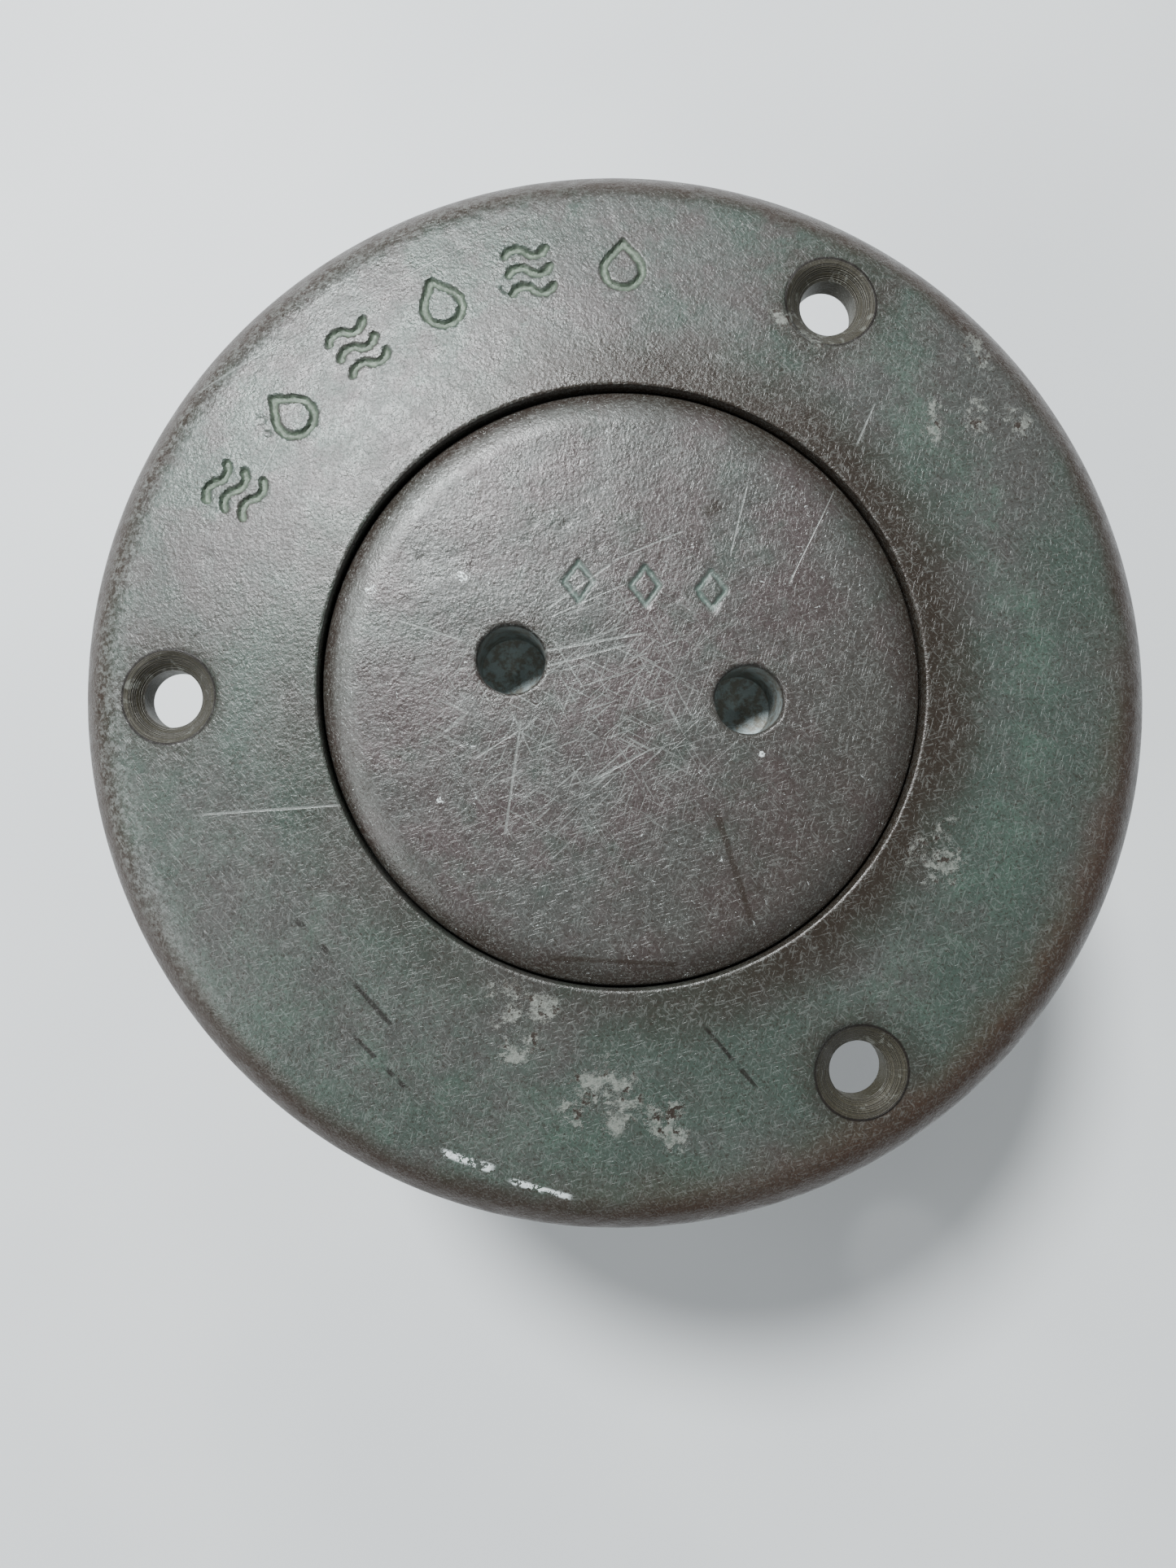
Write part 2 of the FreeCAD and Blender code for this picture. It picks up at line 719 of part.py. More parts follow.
def make_swivel_screw():
    """A shouldered screw: its shank is in the cap's boss and its head carries the clevis."""
    body = new_body("swivel_screw")
    section = new_sketch(body, "swivel_screw_section", "XZ_Plane")
    outline(section, [
        ("0", "0 - swivel_boss_depth + swivel_shank_length"),
        ("swivel_shank_radius", "0 - swivel_boss_depth + swivel_shank_length"),
        ("swivel_shank_radius", "0 - swivel_head_depth"),
        ("swivel_head_radius", "0 - swivel_head_depth"),
        ("swivel_head_radius", "0 - swivel_head_depth - swivel_head_thickness"),
        ("0", "0 - swivel_head_depth - swivel_head_thickness"),
    ])
    turned(body, "Revolution", "swivel_screw_turned", section)


def make_swivel_clevis():
    """A bent strap: a plate that turns on the screw, and two legs that hold the pin."""
    body = new_body("swivel_clevis")
    top = "0 - swivel_boss_depth - clevis_gap"
    plan = new_sketch(body, "clevis_outline", "XZ_Plane")
    outline(plan, [
        ("0 - clevis_half_width", top),
        ("clevis_half_width", top),
        ("clevis_half_width", "0 - clevis_depth"),
        ("clevis_inner_half", "0 - clevis_depth"),
        ("clevis_inner_half", top + " - clevis_plate"),
        ("0 - clevis_inner_half", top + " - clevis_plate"),
        ("0 - clevis_inner_half", "0 - clevis_depth"),
        ("0 - clevis_half_width", "0 - clevis_depth"),
    ])
    strap = feature(body, "Pad", "strap", plan, Midplane=True)
    bind(strap, Length="clevis_thickness")
    DOC.recompute()
    eye = new_sketch(body, "clevis_eye", "XY_Plane")
    ring(eye, "clevis_hole_radius")
    hole = feature(body, "Pocket", "screw_eye", eye)
    bind(hole, Length="swivel_head_depth + swivel_head_thickness")
    DOC.recompute()
    bore = new_sketch(body, "clevis_bore", "YZ_Plane")
    ring(bore, "pin_radius", "0", "0 - pin_depth")
    hole = feature(body, "Pocket", "pin_bore", bore, Midplane=True)
    bind(hole, Length="clevis_half_width + clevis_half_width + 1")
    DOC.recompute()


def make_clevis_pin():
    """A rivet across the clevis, along X, with a head on each side."""
    depth = -number("pin_depth")
    along = Vector(0, 1, 0)
    half = number("clevis_half_width")
    pieces = [
        primitive("Cylinder", "pin_shank", place(-half, 0, depth, along, 90),
                  Radius="pin_radius", Height="clevis_half_width + clevis_half_width"),
        primitive("Cylinder", "pin_head_right", place(half, 0, depth, along, 90),
                  Radius="pin_head_radius", Height="pin_head_thickness"),
        primitive("Cylinder", "pin_head_left", place(-half, 0, depth, along, -90),
                  Radius="pin_head_radius", Height="pin_head_thickness"),
    ]
    joined("clevis_pin", pieces)


def link_centres():
    """Heights of the links' centres: each link hangs on the one above with a little play."""
    reach = number("link_straight") / 2 + number("link_bend")
    wire = number("link_wire_radius")
    top = -number("pin_depth") + number("pin_radius") + number("link_play") + wire
    centres = []
    for _ in range(LINK_COUNT):
        centres.append(top - reach)
        top = centres[-1] - reach + 2 * wire + number("link_play")
    return centres


def make_chain_link(index, height):
    """A wire link: two half rings and two straight sides. Odd links lie in the YZ plane."""
    turn = 90 if index % 2 else 0
    spin = Rotation(Vector(0, 0, 1), turn)
    half = number("link_straight") / 2
    name = f"chain_link_{index}"
    pieces = []
    for end, side in (("top", 1), ("bottom", -1)):
        tilt = Rotation(Vector(1, 0, 0), 90 * side)
        bend = primitive("Torus", f"{name}_{end}", Placement(Vector(0, 0, height + side * half), spin * tilt),
                         Radius1="link_bend", Radius2="link_wire_radius")
        bend.Angle3 = 180
        pieces.append(bend)
    for side in (1, -1):
        offset = spin.multVec(Vector(side * number("link_bend"), 0, height - half))
        label = "a" if side > 0 else "b"
        pieces.append(primitive("Cylinder", f"{name}_side_{label}", Placement(offset, spin),
                                Radius="link_wire_radius", Height="link_straight"))
    joined(name, pieces)


def make_toggle_bar(last_link):
    """A round-ended bar with an eye off its middle, so that it hangs steeply below the last link.

    It is longer than the throat is wide, so it stops the chain when the cap is pulled out.
    """
    wire = number("link_wire_radius")
    pivot = last_link - number("link_straight") / 2 - number("link_bend")
    eye = pivot + wire + number("link_play") - (number("link_bend") - wire)
    tilt = math.radians(number("toggle_tilt"))
    gap = number("link_bend") + wire + number("toggle_radius") - wire / 2
    middle = eye - gap / math.cos(tilt)
    half = number("toggle_length") / 2 - number("toggle_radius")
    along = Vector(0, math.cos(tilt), math.sin(tilt))
    low = Vector(0, 0, middle) - along * half
    high = Vector(0, 0, middle) + along * half
    lean = Rotation(Vector(1, 0, 0), number("toggle_tilt") - 90)
    pieces = [
        primitive("Cylinder", "toggle_rod", Placement(low, lean), Radius="toggle_radius",
                  Height="toggle_length - toggle_radius - toggle_radius"),
        primitive("Sphere", "toggle_low_end", Placement(low, lean), Radius="toggle_radius"),
        primitive("Sphere", "toggle_high_end", Placement(high, lean), Radius="toggle_radius"),
        primitive("Torus", "toggle_eye", place(0, 0, eye, Vector(0, 1, 0), 90),
                  Radius1="link_bend", Radius2="link_wire_radius"),
    ]
    joined("toggle_bar", pieces)
    return pivot, middle


def make_bond_screw():
    """A slotted screw in the bonding lug, along -Y."""
    back = Vector(1, 0, 0)
    depth = -number("lug_depth")
    face = -number("lug_face") - number("washer_thickness")
    top = face - number("bond_head_thickness")
    solid = DOC.addObject("Part::MultiFuse", "bond_screw_solid")
    solid.Shapes = [
        primitive("Cylinder", "bond_shank", place(0, face, depth, back, -90),
                  Radius="bond_shank_radius", Height="bond_shank_length"),
        primitive("Cylinder", "bond_head", place(0, face, depth, back, 90),
                  Radius="bond_head_radius", Height="bond_head_thickness"),
    ]
    reach = number("bond_head_radius") + 1
    slot = primitive("Box", "bond_slot",
                     place(-reach, top, depth - number("bond_slot_width") / 2),
                     Width="bond_slot_depth", Height="bond_slot_width")
    slot.Length = 2 * reach
    screw = DOC.addObject("Part::Cut", "bond_screw")
    screw.Base = solid
    screw.Tool = slot
    screw.Label = "bond_screw"
    SUB_PARTS.append(screw)


def make_bond_washer():
    """A toothed lock washer between the screw's head and the lug."""
    body = new_body("bond_washer")
    face = number("lug_face")
    depth = number("lug_depth")
    plan = new_sketch(body, "washer_plan", "XY_Plane")
    ring(plan, "washer_radius")
    ring(plan, "washer_hole_radius")
    disc = feature(body, "Pad", "washer_disc", plan)
    bind(disc, Length="washer_thickness")
    DOC.recompute()
    tooth = new_sketch(body, "washer_notch_plan", "XY_Plane")
    ring(tooth, "washer_notch", "washer_radius", "0")
    notch = feature(body, "Pocket", "notch", tooth, Type="ThroughAll", Reversed=True)
    DOC.recompute()
    repeat(body, "notches", [notch], WASHER_NOTCHES, 360)
    body.Placement = place(0, -face, -depth, Vector(1, 0, 0), 90)


# ---------------------------------------------------------------- whole part

def check_features(body):
    """Stop if a feature of a body adds or cuts nothing, or takes away more than it should."""
    for item in body.Group:
        if not getattr(item, "BaseFeature", None):
            continue
        before = item.BaseFeature.Shape.Volume
        after = item.Shape.Volume
        if abs(after - before) < 0.01 or after < before / 2:
            raise ValueError(f"{item.Name} changes the volume from {before:.2f} to {after:.2f}")


def check_all():
    """Stop if any object failed or any sub-part isn't one or more good solids."""
    for item in DOC.Objects:
        if {"Invalid", "Error"} & set(item.State):
            raise ValueError(f"{item.Name} failed: {item.State}")
    for item in SUB_PARTS:
        if item.isDerivedFrom("PartDesign::Body"):
            check_features(item)
        shape = item.Shape
        if shape.isNull() or not shape.isValid() or not shape.Solids:
            raise ValueError(f"{item.Label} is not a good solid")


def write_all():
    os.makedirs("parts", exist_ok=True)
    for item in SUB_PARTS:
        item.Shape.exportStep(os.path.join("parts", f"{item.Label}.step"))
        print(f"{item.Label}: {item.Shape.Volume:.1f} mm3, {len(item.Shape.Solids)} solid")


def main():
    fill_sheet()
    make_deck_flange()
    make_cap()
    make_sealing_ring()
    make_swivel_screw()
    make_swivel_clevis()
    make_clevis_pin()
    centres = link_centres()
    for index, height in enumerate(centres, start=1):
        make_chain_link(index, height)
    pivot, middle = make_toggle_bar(centres[-1])
    make_bond_screw()
    make_bond_washer()
    DOC.recompute()
    check_all()
    write_all()
    heights = ", ".join(f"{height:.3f}" for height in centres)
    print(f"link centres {heights}; toggle pivot {pivot:.3f}, toggle middle {middle:.3f}")


main()
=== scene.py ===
"""Looks of the bronze deck fill cap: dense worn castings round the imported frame, light, floor and camera.

Shapes are worked out in millimetres in the row frame and scaled to metres when a mesh is made.
"""
import json
import math

import bmesh
import bpy
import numpy as np
from mathutils import Matrix, Vector
from mathutils.geometry import delaunay_2d_cdt


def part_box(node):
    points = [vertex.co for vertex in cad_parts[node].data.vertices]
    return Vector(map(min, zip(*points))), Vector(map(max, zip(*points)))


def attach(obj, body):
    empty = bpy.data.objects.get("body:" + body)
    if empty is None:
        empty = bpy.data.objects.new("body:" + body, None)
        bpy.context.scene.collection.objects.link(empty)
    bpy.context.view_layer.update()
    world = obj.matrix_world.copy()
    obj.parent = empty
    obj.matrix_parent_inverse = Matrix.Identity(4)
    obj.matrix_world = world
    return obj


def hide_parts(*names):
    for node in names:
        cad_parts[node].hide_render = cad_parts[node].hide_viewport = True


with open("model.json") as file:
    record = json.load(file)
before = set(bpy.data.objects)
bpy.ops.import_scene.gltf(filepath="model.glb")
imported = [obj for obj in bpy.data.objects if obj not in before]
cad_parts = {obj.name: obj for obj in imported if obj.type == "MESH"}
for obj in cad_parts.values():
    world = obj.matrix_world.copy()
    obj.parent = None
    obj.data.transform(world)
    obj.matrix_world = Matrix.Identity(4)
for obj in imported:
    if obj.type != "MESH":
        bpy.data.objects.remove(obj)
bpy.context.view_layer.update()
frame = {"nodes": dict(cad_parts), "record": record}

MM = 0.001


def box_mm(name):
    """A CAD node's lowest and highest corner in millimetres."""
    return [[value / MM for value in corner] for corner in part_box(name)]


flange_low, flange_high = box_mm("deck_flange")
cap_low, cap_high = box_mm("cap")

# ---------------------------------------------------------------- sizes in millimetres

FLANGE_RADIUS = flange_high[0]
OPENING_RADIUS = 31.55
OPENING_HEIGHT = flange_high[2]
OPENING_EDGE = 0.4
RIM_RADIUS = 52.5
RIM_HEIGHT = 3.94
RIM_LAND = 1.0
RIM_BEND = 6.6
SEAT_HEIGHT = -1.8
COLLAR_RADIUS = 35.5
TAIL_END = flange_low[2]
RELIEF = (38.5, 54.6, 1.2)
RELIEF_WALL = 0.5
CROWN_BEND = 391.0
COUNTERSINK_BLEND = 0.18
LUG_RADIUS = 4.6
LUG_LENGTH = 6.5
NECK_RADIUS = 31.6
TAIL_RADIUS = 25.4
BARBS = 4
BARB_PITCH = 7.0
BARB_ROOT = 24.5
TAIL_LIP = 24.2
THROAT_RADIUS = 22.0
THREAD_RELIEF = 28.4
SHARP_ANGLE = math.radians(38)
SCREW_CIRCLE = 47.4
SCREW_HOLE = 3.05
SCREW_PAD = 6.6
SCREW_CLEAR = 6.1
SCREW_START = 61.6
SCREW_ANGLES = [SCREW_START + 120 * turn for turn in range(3)]
COUNTERSINK_FLOOR = 2.8

MARK_RADIUS = 45.6
MARK_PITCH = 12.7
MARK_DEPTH = 0.42
MARK_STROKE = 0.9
MARK_HALF = 3.4

CAP_RADIUS = cap_high[0]
CAP_TOP = cap_high[2]
CAP_CROWN_RADIUS = 26.8
CAP_CROWN_BEND = 700.0
CAP_EDGE_HEIGHT = 4.9
CAP_EDGE_BEND = 7.0
CAP_CORNER = 0.35
CAP_CORNER_SQUASH = 0.45
CAP_HEAD_UNDERSIDE = 1.0
PLUG_END = cap_low[2]
PLUG_BORE = 22.4
PLATE_UNDERSIDE = 1.3
STAMP_ROW = 10.1
STAMP_FALL = 0.42
STAMP_SHIFT = 2.25
STAMP_SPACING = 6.9
SPANNER_HALF_PITCH = 12.45
SPANNER_SHIFT = (0.7, 0.3)
SPANNER_HOLE = 3.5
SPANNER_RIM = 6.1
SPANNER_DEPTH = 8.0
SPANNER_ANGLE = -9.45
SPANNER_BOSS = (5.3, 4.6)
SWIVEL_BOSS = (6.0, 4.0)

THREAD_PITCH = 3.0
THREAD_MINOR = 26.2
THREAD_GROOVE = 27.8
PLUG_ROOT = 25.9
PLUG_THREAD = 27.5
NECK_GROOVE_START = -18.0
PLUG_GROOVE_START = -16.5
FLANK_SLOPE = 0.36
GROOVE_FLOOR_HALF = 0.45
FLANK_PLAY = 0.2
THREAD_END = -16.5
THREAD_MOUTH = -3.8
MOUTH_RADIUS = 28.2
PLUG_THREAD_TOP = -3.5
PLUG_CHAMFER = 1.2

# where the casting is marked, in millimetres on the top: (centre, reach), or (start, end, width)
FLANGE_CRUSTS = [((-2.5, -42.5), 5.5), ((-12.0, -33.0), 3.2), ((-8.5, -33.5), 2.4), ((-10.5, -37.5), 3.0),
                 ((5.0, -45.5), 3.8), ((33.0, -17.5), 4.6), ((33.5, 28.5), 3.0), ((38.5, 29.5), 3.4),
                 ((43.0, 28.5), 2.6), ((38.0, 36.5), 3.4), ((17.0, 40.0), 2.6), ((20.0, 37.0), 2.2)]
PAINT_FLECKS = [((-19.0, -48.2), (-13.0, -50.2), 0.6), ((-12.0, -51.2), (-5.0, -53.2), 0.45)]
FLANGE_SCRATCHES = [((-45.5, 31.5), (-10.5, 51.0), 0.10), ((-44.0, -13.6), (-28.8, -12.6), 0.14),
                    ((24.5, 25.0), (27.0, 30.5), 0.14), ((-38.5, 21.0), (-36.0, 26.0), 0.14)]
FLANGE_DARK_LINES = [((-34.0, -24.0), (-30.0, -28.0), 0.35), ((-28.0, -30.5), (-23.5, -35.5), 0.35),
                     ((-28.0, -36.0), (-22.0, -42.0), 0.3), ((8.0, -35.0), (14.0, -42.0), 0.3)]
CAP_SCRATCHES = [((-1.5, 12.5), (6.5, 16.0), 0.12), ((-10.5, -3.4), (-12.2, -16.0), 0.20),
                 ((-11.8, -2.6), (-9.2, -8.0), 0.15), ((-8.2, 7.4), (-1.0, 12.6), 0.22),
                 ((-8.0, 6.6), (0.5, 10.4), 0.16), ((17.0, 10.0), (22.5, 21.0), 0.12),
                 ((-23.8, 6.6), (-16.2, 4.2), 0.13), ((-9.5, 3.0), (2.5, 5.2), 0.14),
                 ((-8.5, 1.5), (0.5, 4.0), 0.14), ((-4.0, -10.5), (3.5, -6.5), 0.14),
                 ((11.0, 13.0), (13.0, 21.0), 0.10), ((-10.0, -4.5), (-15.5, -8.0), 0.13)]
CAP_STAINS = [((9.4, -13.0), (13.2, -24.8), 0.45), ((-15.4, 18.5), (-14.2, 21.5), 0.35),
              ((-8.0, -28.2), (6.0, -29.0), 0.35), ((8.0, 17.5), (10.5, 19.0), 0.8)]
SCRATCH_ANGLES = (22, 48, 71, 118, 150)
CAP_NICKS = [((-16.6, 11.0), 1.1), ((-26.1, 9.6), 0.9), ((-18.8, -12.2), 0.6), ((14.2, -7.4), 0.6)]

COLUMNS = 480
HOLE_COLUMNS = 96


# ---------------------------------------------------------------- small maths

def polar(radius, degrees):
    return radius * math.cos(math.radians(degrees)), radius * math.sin(math.radians(degrees))


def smooth(value, low, high):
    """0 below low, 1 above high, and smooth between."""
    step = np.clip((value - low) / (high - low), 0, 1)
    return step * step * (3 - 2 * step)


def ripple(x, y, wavelength, seed, waves=28):
    """A smooth random field, about -1 to 1, whose bumps are about one wavelength across."""
    random = np.random.default_rng(seed)
    total = np.zeros_like(x)
    for _ in range(waves):
        direction = random.uniform(0, 2 * math.pi)
        turns = 2 * math.pi / (wavelength * random.uniform(0.7, 1.6))
        phase = random.uniform(0, 2 * math.pi)
        total += np.cos(turns * (x * math.cos(direction) + y * math.sin(direction)) + phase)
    return total / math.sqrt(waves)


def path_distance(x, y, path):
    """Distance from each point to a path of straight steps."""
    best = np.full(x.shape, 1e9)
    for (ax, ay), (bx, by) in zip(path[:-1], path[1:]):
        dx, dy = bx - ax, by - ay
        along = np.clip(((x - ax) * dx + (y - ay) * dy) / (dx * dx + dy * dy + 1e-12), 0, 1)
        best = np.minimum(best, np.hypot(x - ax - along * dx, y - ay - along * dy))
    return best


def arc_path(centre, radius, start, end, steps=14):
    angles = np.linspace(math.radians(start), math.radians(end), steps)
    return [(centre[0] + radius * math.cos(a), centre[1] + radius * math.sin(a)) for a in angles]


def arc_height(radius, start, end, bend):
    """Height of an arc that turns right from start to end, both (radius, height)."""
    chord = np.subtract(end, start)
    half = np.hypot(*chord) / 2
    rise = math.sqrt(bend * bend - half * half)
    right = np.array([chord[1], -chord[0]]) / (2 * half)
    centre = (np.add(start, end)) / 2 + right * rise
    return centre[1] + np.sqrt(np.maximum(bend**2 - (radius - centre[0])**2, 0))


# ---------------------------------------------------------------- marks

def drop_paths():
    """A drop with its point outwards."""
    ball = 2.5 - MARK_STROKE / 2
    middle = 2.5 - MARK_HALF
    tip = MARK_HALF - 1.25 * MARK_STROKE
    lean = math.degrees(math.acos(ball / (tip - middle)))
    round_part = arc_path((0, middle), ball, 90 + lean, 450 - lean, 40)
    return [[(0, tip)] + round_part + [(0, tip)]]


def wave_paths():
    """Three wavy strokes, each a crest and a trough."""
    bend, half = 1.35, 55
    span = 2 * bend * math.sin(math.radians(half))
    sink = bend * math.cos(math.radians(half))
    paths = []
    for height in (-2.2, 0, 2.2):
        crest = arc_path((-span / 2, height - sink), bend, 90 + half, 90 - half)
        trough = arc_path((span / 2, height + sink), bend, 270 - half, 270 + half)
        paths.append(crest + trough)
    return paths


def mark_angles():
    """Angles of the six marks, with the paths that each is made of."""
    first = SCREW_START + 60 - 2.5 * MARK_PITCH
    kinds = (drop_paths(), wave_paths())
    return [(first + index * MARK_PITCH, kinds[index % 2]) for index in range(6)]


def mark_depth(x, y):
    """Depth of the engraving under each point of the crown."""
    depth = np.zeros_like(x)
    ragged = ripple(x, y, 0.9, 11) * 0.05
    for angle, paths in mark_angles():
        cx, cy = polar(MARK_RADIUS, angle)
        turn = math.radians(angle - 90)
        across = (x - cx) * math.cos(turn) + (y - cy) * math.sin(turn)
        outward = (y - cy) * math.cos(turn) - (x - cx) * math.sin(turn)
        near = np.hypot(across, outward) < MARK_HALF + 1.5
        distance = np.full(x.shape, 1e9)
        for path in paths:
            distance[near] = np.minimum(distance[near], path_distance(across[near], outward[near], path))
        distance = distance + ragged
        depth = np.maximum(depth, MARK_DEPTH * (1 - smooth(distance, MARK_STROKE * 0.2, MARK_STROKE * 0.6)))
    return depth


def stamp_depth(x, y):
    """Depth of the three stamped lozenges on the cap."""
    depth = np.zeros_like(x)
    for index in range(3):
        place = index - 1
        middle = STAMP_SHIFT + STAMP_SPACING * place
        row = STAMP_ROW - STAMP_FALL * place
        wide, high = 1.5, 2.0
        path = [(middle + wide, row), (middle, row + high), (middle - wide, row), (middle, row - high)]
        path.append(path[0])
        distance = path_distance(x, y, path) + ripple(x, y, 0.8, 21 + index) * 0.05
        strength = 0.75 + 0.25 * ripple(x, y, 4.0, 31)
        depth = np.maximum(depth, 0.3 * strength * (1 - smooth(distance, 0.08, 0.42)))
    return depth


# ---------------------------------------------------------------- point sets and skins

def polar_points(inner, outer, spacing, seed):
    """Rings of evenly spaced points, each ring turned by its own amount."""
    random = np.random.default_rng(seed)
    count = max(2, int(round((outer - inner) / spacing)) + 1)
    parts = []
    for radius in np.linspace(inner, outer, count):
        around = max(8, int(2 * math.pi * radius / spacing))
        angles = np.linspace(0, 2 * math.pi, around, endpoint=False) + random.uniform(0, 0.1)
        parts.append(np.column_stack((radius * np.cos(angles), radius * np.sin(angles))))
    return np.vstack(parts)


def at_height(points, height):
    """Points of the plane, all at one height."""
    return np.column_stack((points, np.full(len(points), height)))


def circle_points(radius, count, centre=(0, 0)):
    angles = np.linspace(0, 2 * math.pi, count, endpoint=False)
    return np.column_stack((centre[0] + radius * np.cos(angles), centre[1] + radius * np.sin(angles)))


def grid_patch(centre, half_across, half_outward, angle, spacing):
    """A rectangle of points whose second side points outwards at an angle."""
    across = np.arange(-half_across, half_across + spacing, spacing)
    outward = np.arange(-half_outward, half_outward + spacing, spacing)
    u, v = np.meshgrid(across, outward)
    u = u + (np.arange(len(outward)) % 2)[:, None] * spacing / 2
    turn = math.radians(angle - 90)
    x = centre[0] + u * math.cos(turn) - v * math.sin(turn)
    y = centre[1] + u * math.sin(turn) + v * math.cos(turn)
    return np.column_stack((x.ravel(), y.ravel()))


def keep(points, test):
    return points[test(points[:, 0], points[:, 1])]


def triangulate(points, inside):
    """Delaunay triangles whose middles pass the test."""
    result = delaunay_2d_cdt([Vector(point) for point in points], [], [], 0, 1e-6, False)
    verts = np.array([tuple(vert) for vert in result[0]])
    faces = np.array(result[2])
    middles = verts[faces].mean(axis=1)
    return verts, faces[inside(middles[:, 0], middles[:, 1])]


class Shell:
    """Collects parts of one closed surface, and welds what meets."""

    def __init__(self):
        self.verts = []
        self.faces = []
        self.count = 0

    def add(self, verts, faces, flip=False):
        self.verts.append(np.asarray(verts, float))
        for face in np.asarray(faces).tolist():
            face = [index + self.count for index in face]
            self.faces.append(face[::-1] if flip else face)
        self.count += len(verts)

    def bands(self, loops, flip=False):
        """Quads between loops of equal length, each an (n, 3) array."""
        size = len(loops[0])
        verts = np.vstack(loops)
        ring = np.arange(size)
        after = (ring + 1) % size
        rows = []
        for row in range(len(loops) - 1):
            low, high = row * size, (row + 1) * size
            rows.append(np.column_stack((low + ring, low + after, high + after, high + ring)))
        self.add(verts, np.vstack(rows), flip)

    def object(self, name):
        mesh = bpy.data.meshes.new(name)
        mesh.from_pydata((np.vstack(self.verts) * MM).tolist(), [], self.faces)
        item = bpy.data.objects.new(name, mesh)
        bpy.context.scene.collection.objects.link(item)
        weld(mesh)
        return item


def weld(mesh):
    """Merge equal points and turn all faces outwards."""
    data = bmesh.new()
    data.from_mesh(mesh)
    bmesh.ops.remove_doubles(data, verts=data.verts, dist=2e-6)
    bmesh.ops.recalc_face_normals(data, faces=data.faces)
    data.to_mesh(mesh)
    data.free()
    mesh.polygons.foreach_set("use_smooth", [True] * len(mesh.polygons))
    mesh.set_sharp_from_angle(angle=SHARP_ANGLE)
    mesh.update()


def lathe_loops(profile):
    """Loops of COLUMNS points, one for each (radius, height) of the profile."""
    return [at_height(circle_points(radius, COLUMNS), height) for radius, height in profile]


def thread_loops(heights, bounds, crest, floor, start, half_at_floor, outward):
    """Loops along a threaded wall, kept outside or inside a bound where the wall is bevelled.

    The groove's depth depends on height and angle together.
    """
    angles = np.linspace(0, 2 * math.pi, COLUMNS, endpoint=False)
    loops = []
    for height, bound in zip(heights, bounds):
        phase = (height - start - THREAD_PITCH * angles / (2 * math.pi)) % THREAD_PITCH
        away = np.minimum(phase, THREAD_PITCH - phase)
        depth = abs(floor - crest)
        rise = (half_at_floor + depth * FLANK_SLOPE - away) / FLANK_SLOPE
        cut = np.clip(rise, 0, depth)
        radius = np.maximum(crest + cut, bound) if outward else np.minimum(crest - cut, bound)
        loops.append(at_height(circle_points(radius, COLUMNS), height))
    return loops


# ---------------------------------------------------------------- deck flange

def crown_profile(radius):
    """Height of the flange's unworn top."""
    crown = arc_height(radius, (OPENING_RADIUS, OPENING_HEIGHT), (RIM_RADIUS, RIM_HEIGHT), CROWN_BEND)
    rim = arc_height(radius, (RIM_RADIUS, RIM_HEIGHT), (FLANGE_RADIUS, RIM_LAND), RIM_BEND)
    height = np.where(radius > RIM_RADIUS, rim, crown)
    lip = np.clip(OPENING_RADIUS + OPENING_EDGE - radius, 0, OPENING_EDGE)
    return height - (OPENING_EDGE - np.sqrt(np.maximum(OPENING_EDGE**2 - lip**2, 0)))


def screw_distance(x, y):
    """Distance to the nearest screw hole's axis."""
    best = np.full(x.shape, 1e9)
    for angle in SCREW_ANGLES:
        cx, cy = polar(SCREW_CIRCLE, angle)
        best = np.minimum(best, np.hypot(x - cx, y - cy))
    return best


def dents(x, y, seed, count, reach, deepest, size=(0.4, 1.2)):
    """Small round knocks scattered over a disc."""
    random = np.random.default_rng(seed)
    depth = np.zeros_like(x)
    for _ in range(count):
        cx, cy = polar(reach * math.sqrt(random.uniform(0.05, 1)), random.uniform(0, 360))
        width = random.uniform(*size)
        squeeze = random.uniform(0.5, 1)
        turn = random.uniform(0, math.pi)
        u = (x - cx) * math.cos(turn) + (y - cy) * math.sin(turn)
        v = ((y - cy) * math.cos(turn) - (x - cx) * math.sin(turn)) / squeeze
        share = random.uniform(0.3, 1)
        depth = np.maximum(depth, deepest * share * (1 - smooth(np.hypot(u, v), 0.2 * width, width)))
    return depth


def flange_top(x, y):
    """Height of the worn top: crown, countersinks, marks, knocks and a pebbled rim."""
    radius = np.hypot(x, y)
    height = crown_profile(radius)
    inner_fade = smooth(radius, OPENING_RADIUS, OPENING_RADIUS + 1.5)
    outer_fade = 1 - smooth(radius, FLANGE_RADIUS - 0.8, FLANGE_RADIUS - 0.1)
    fade = inner_fade * outer_fade
    rim = smooth(radius, RIM_RADIUS - 3, RIM_RADIUS + 1)
    height = height - fade * 0.03 * (1 + ripple(x, y, 14.0, 41))
    height = height - fade * (0.006 + 0.02 * rim) * (1 + ripple(x, y, 1.5, 42))
    height = height - fade * dents(x, y, 43, 70, FLANGE_RADIUS, 0.14)
    height = height - mark_depth(x, y)
    away = screw_distance(x, y) + 0.03 * ripple(x, y, 2.6, 44)
    cone = COUNTERSINK_FLOOR + np.maximum(away - SCREW_HOLE, -0.4)
    gap = np.clip(0.5 + 0.5 * (height - cone) / COUNTERSINK_BLEND, 0, 1)
    return height * (1 - gap) + cone * gap - COUNTERSINK_BLEND * gap * (1 - gap)


def flange_underside(x, y):
    """Height of the underside: a shallow recess with a pad round each screw hole."""
    radius = np.hypot(x, y)
    inner, outer, deep = RELIEF
    inside = smooth(radius, inner, inner + RELIEF_WALL) * (1 - smooth(radius, outer - RELIEF_WALL, outer))
    pad = 1 - smooth(screw_distance(x, y), SCREW_PAD, SCREW_PAD + RELIEF_WALL)
    return deep * inside * (1 - pad)


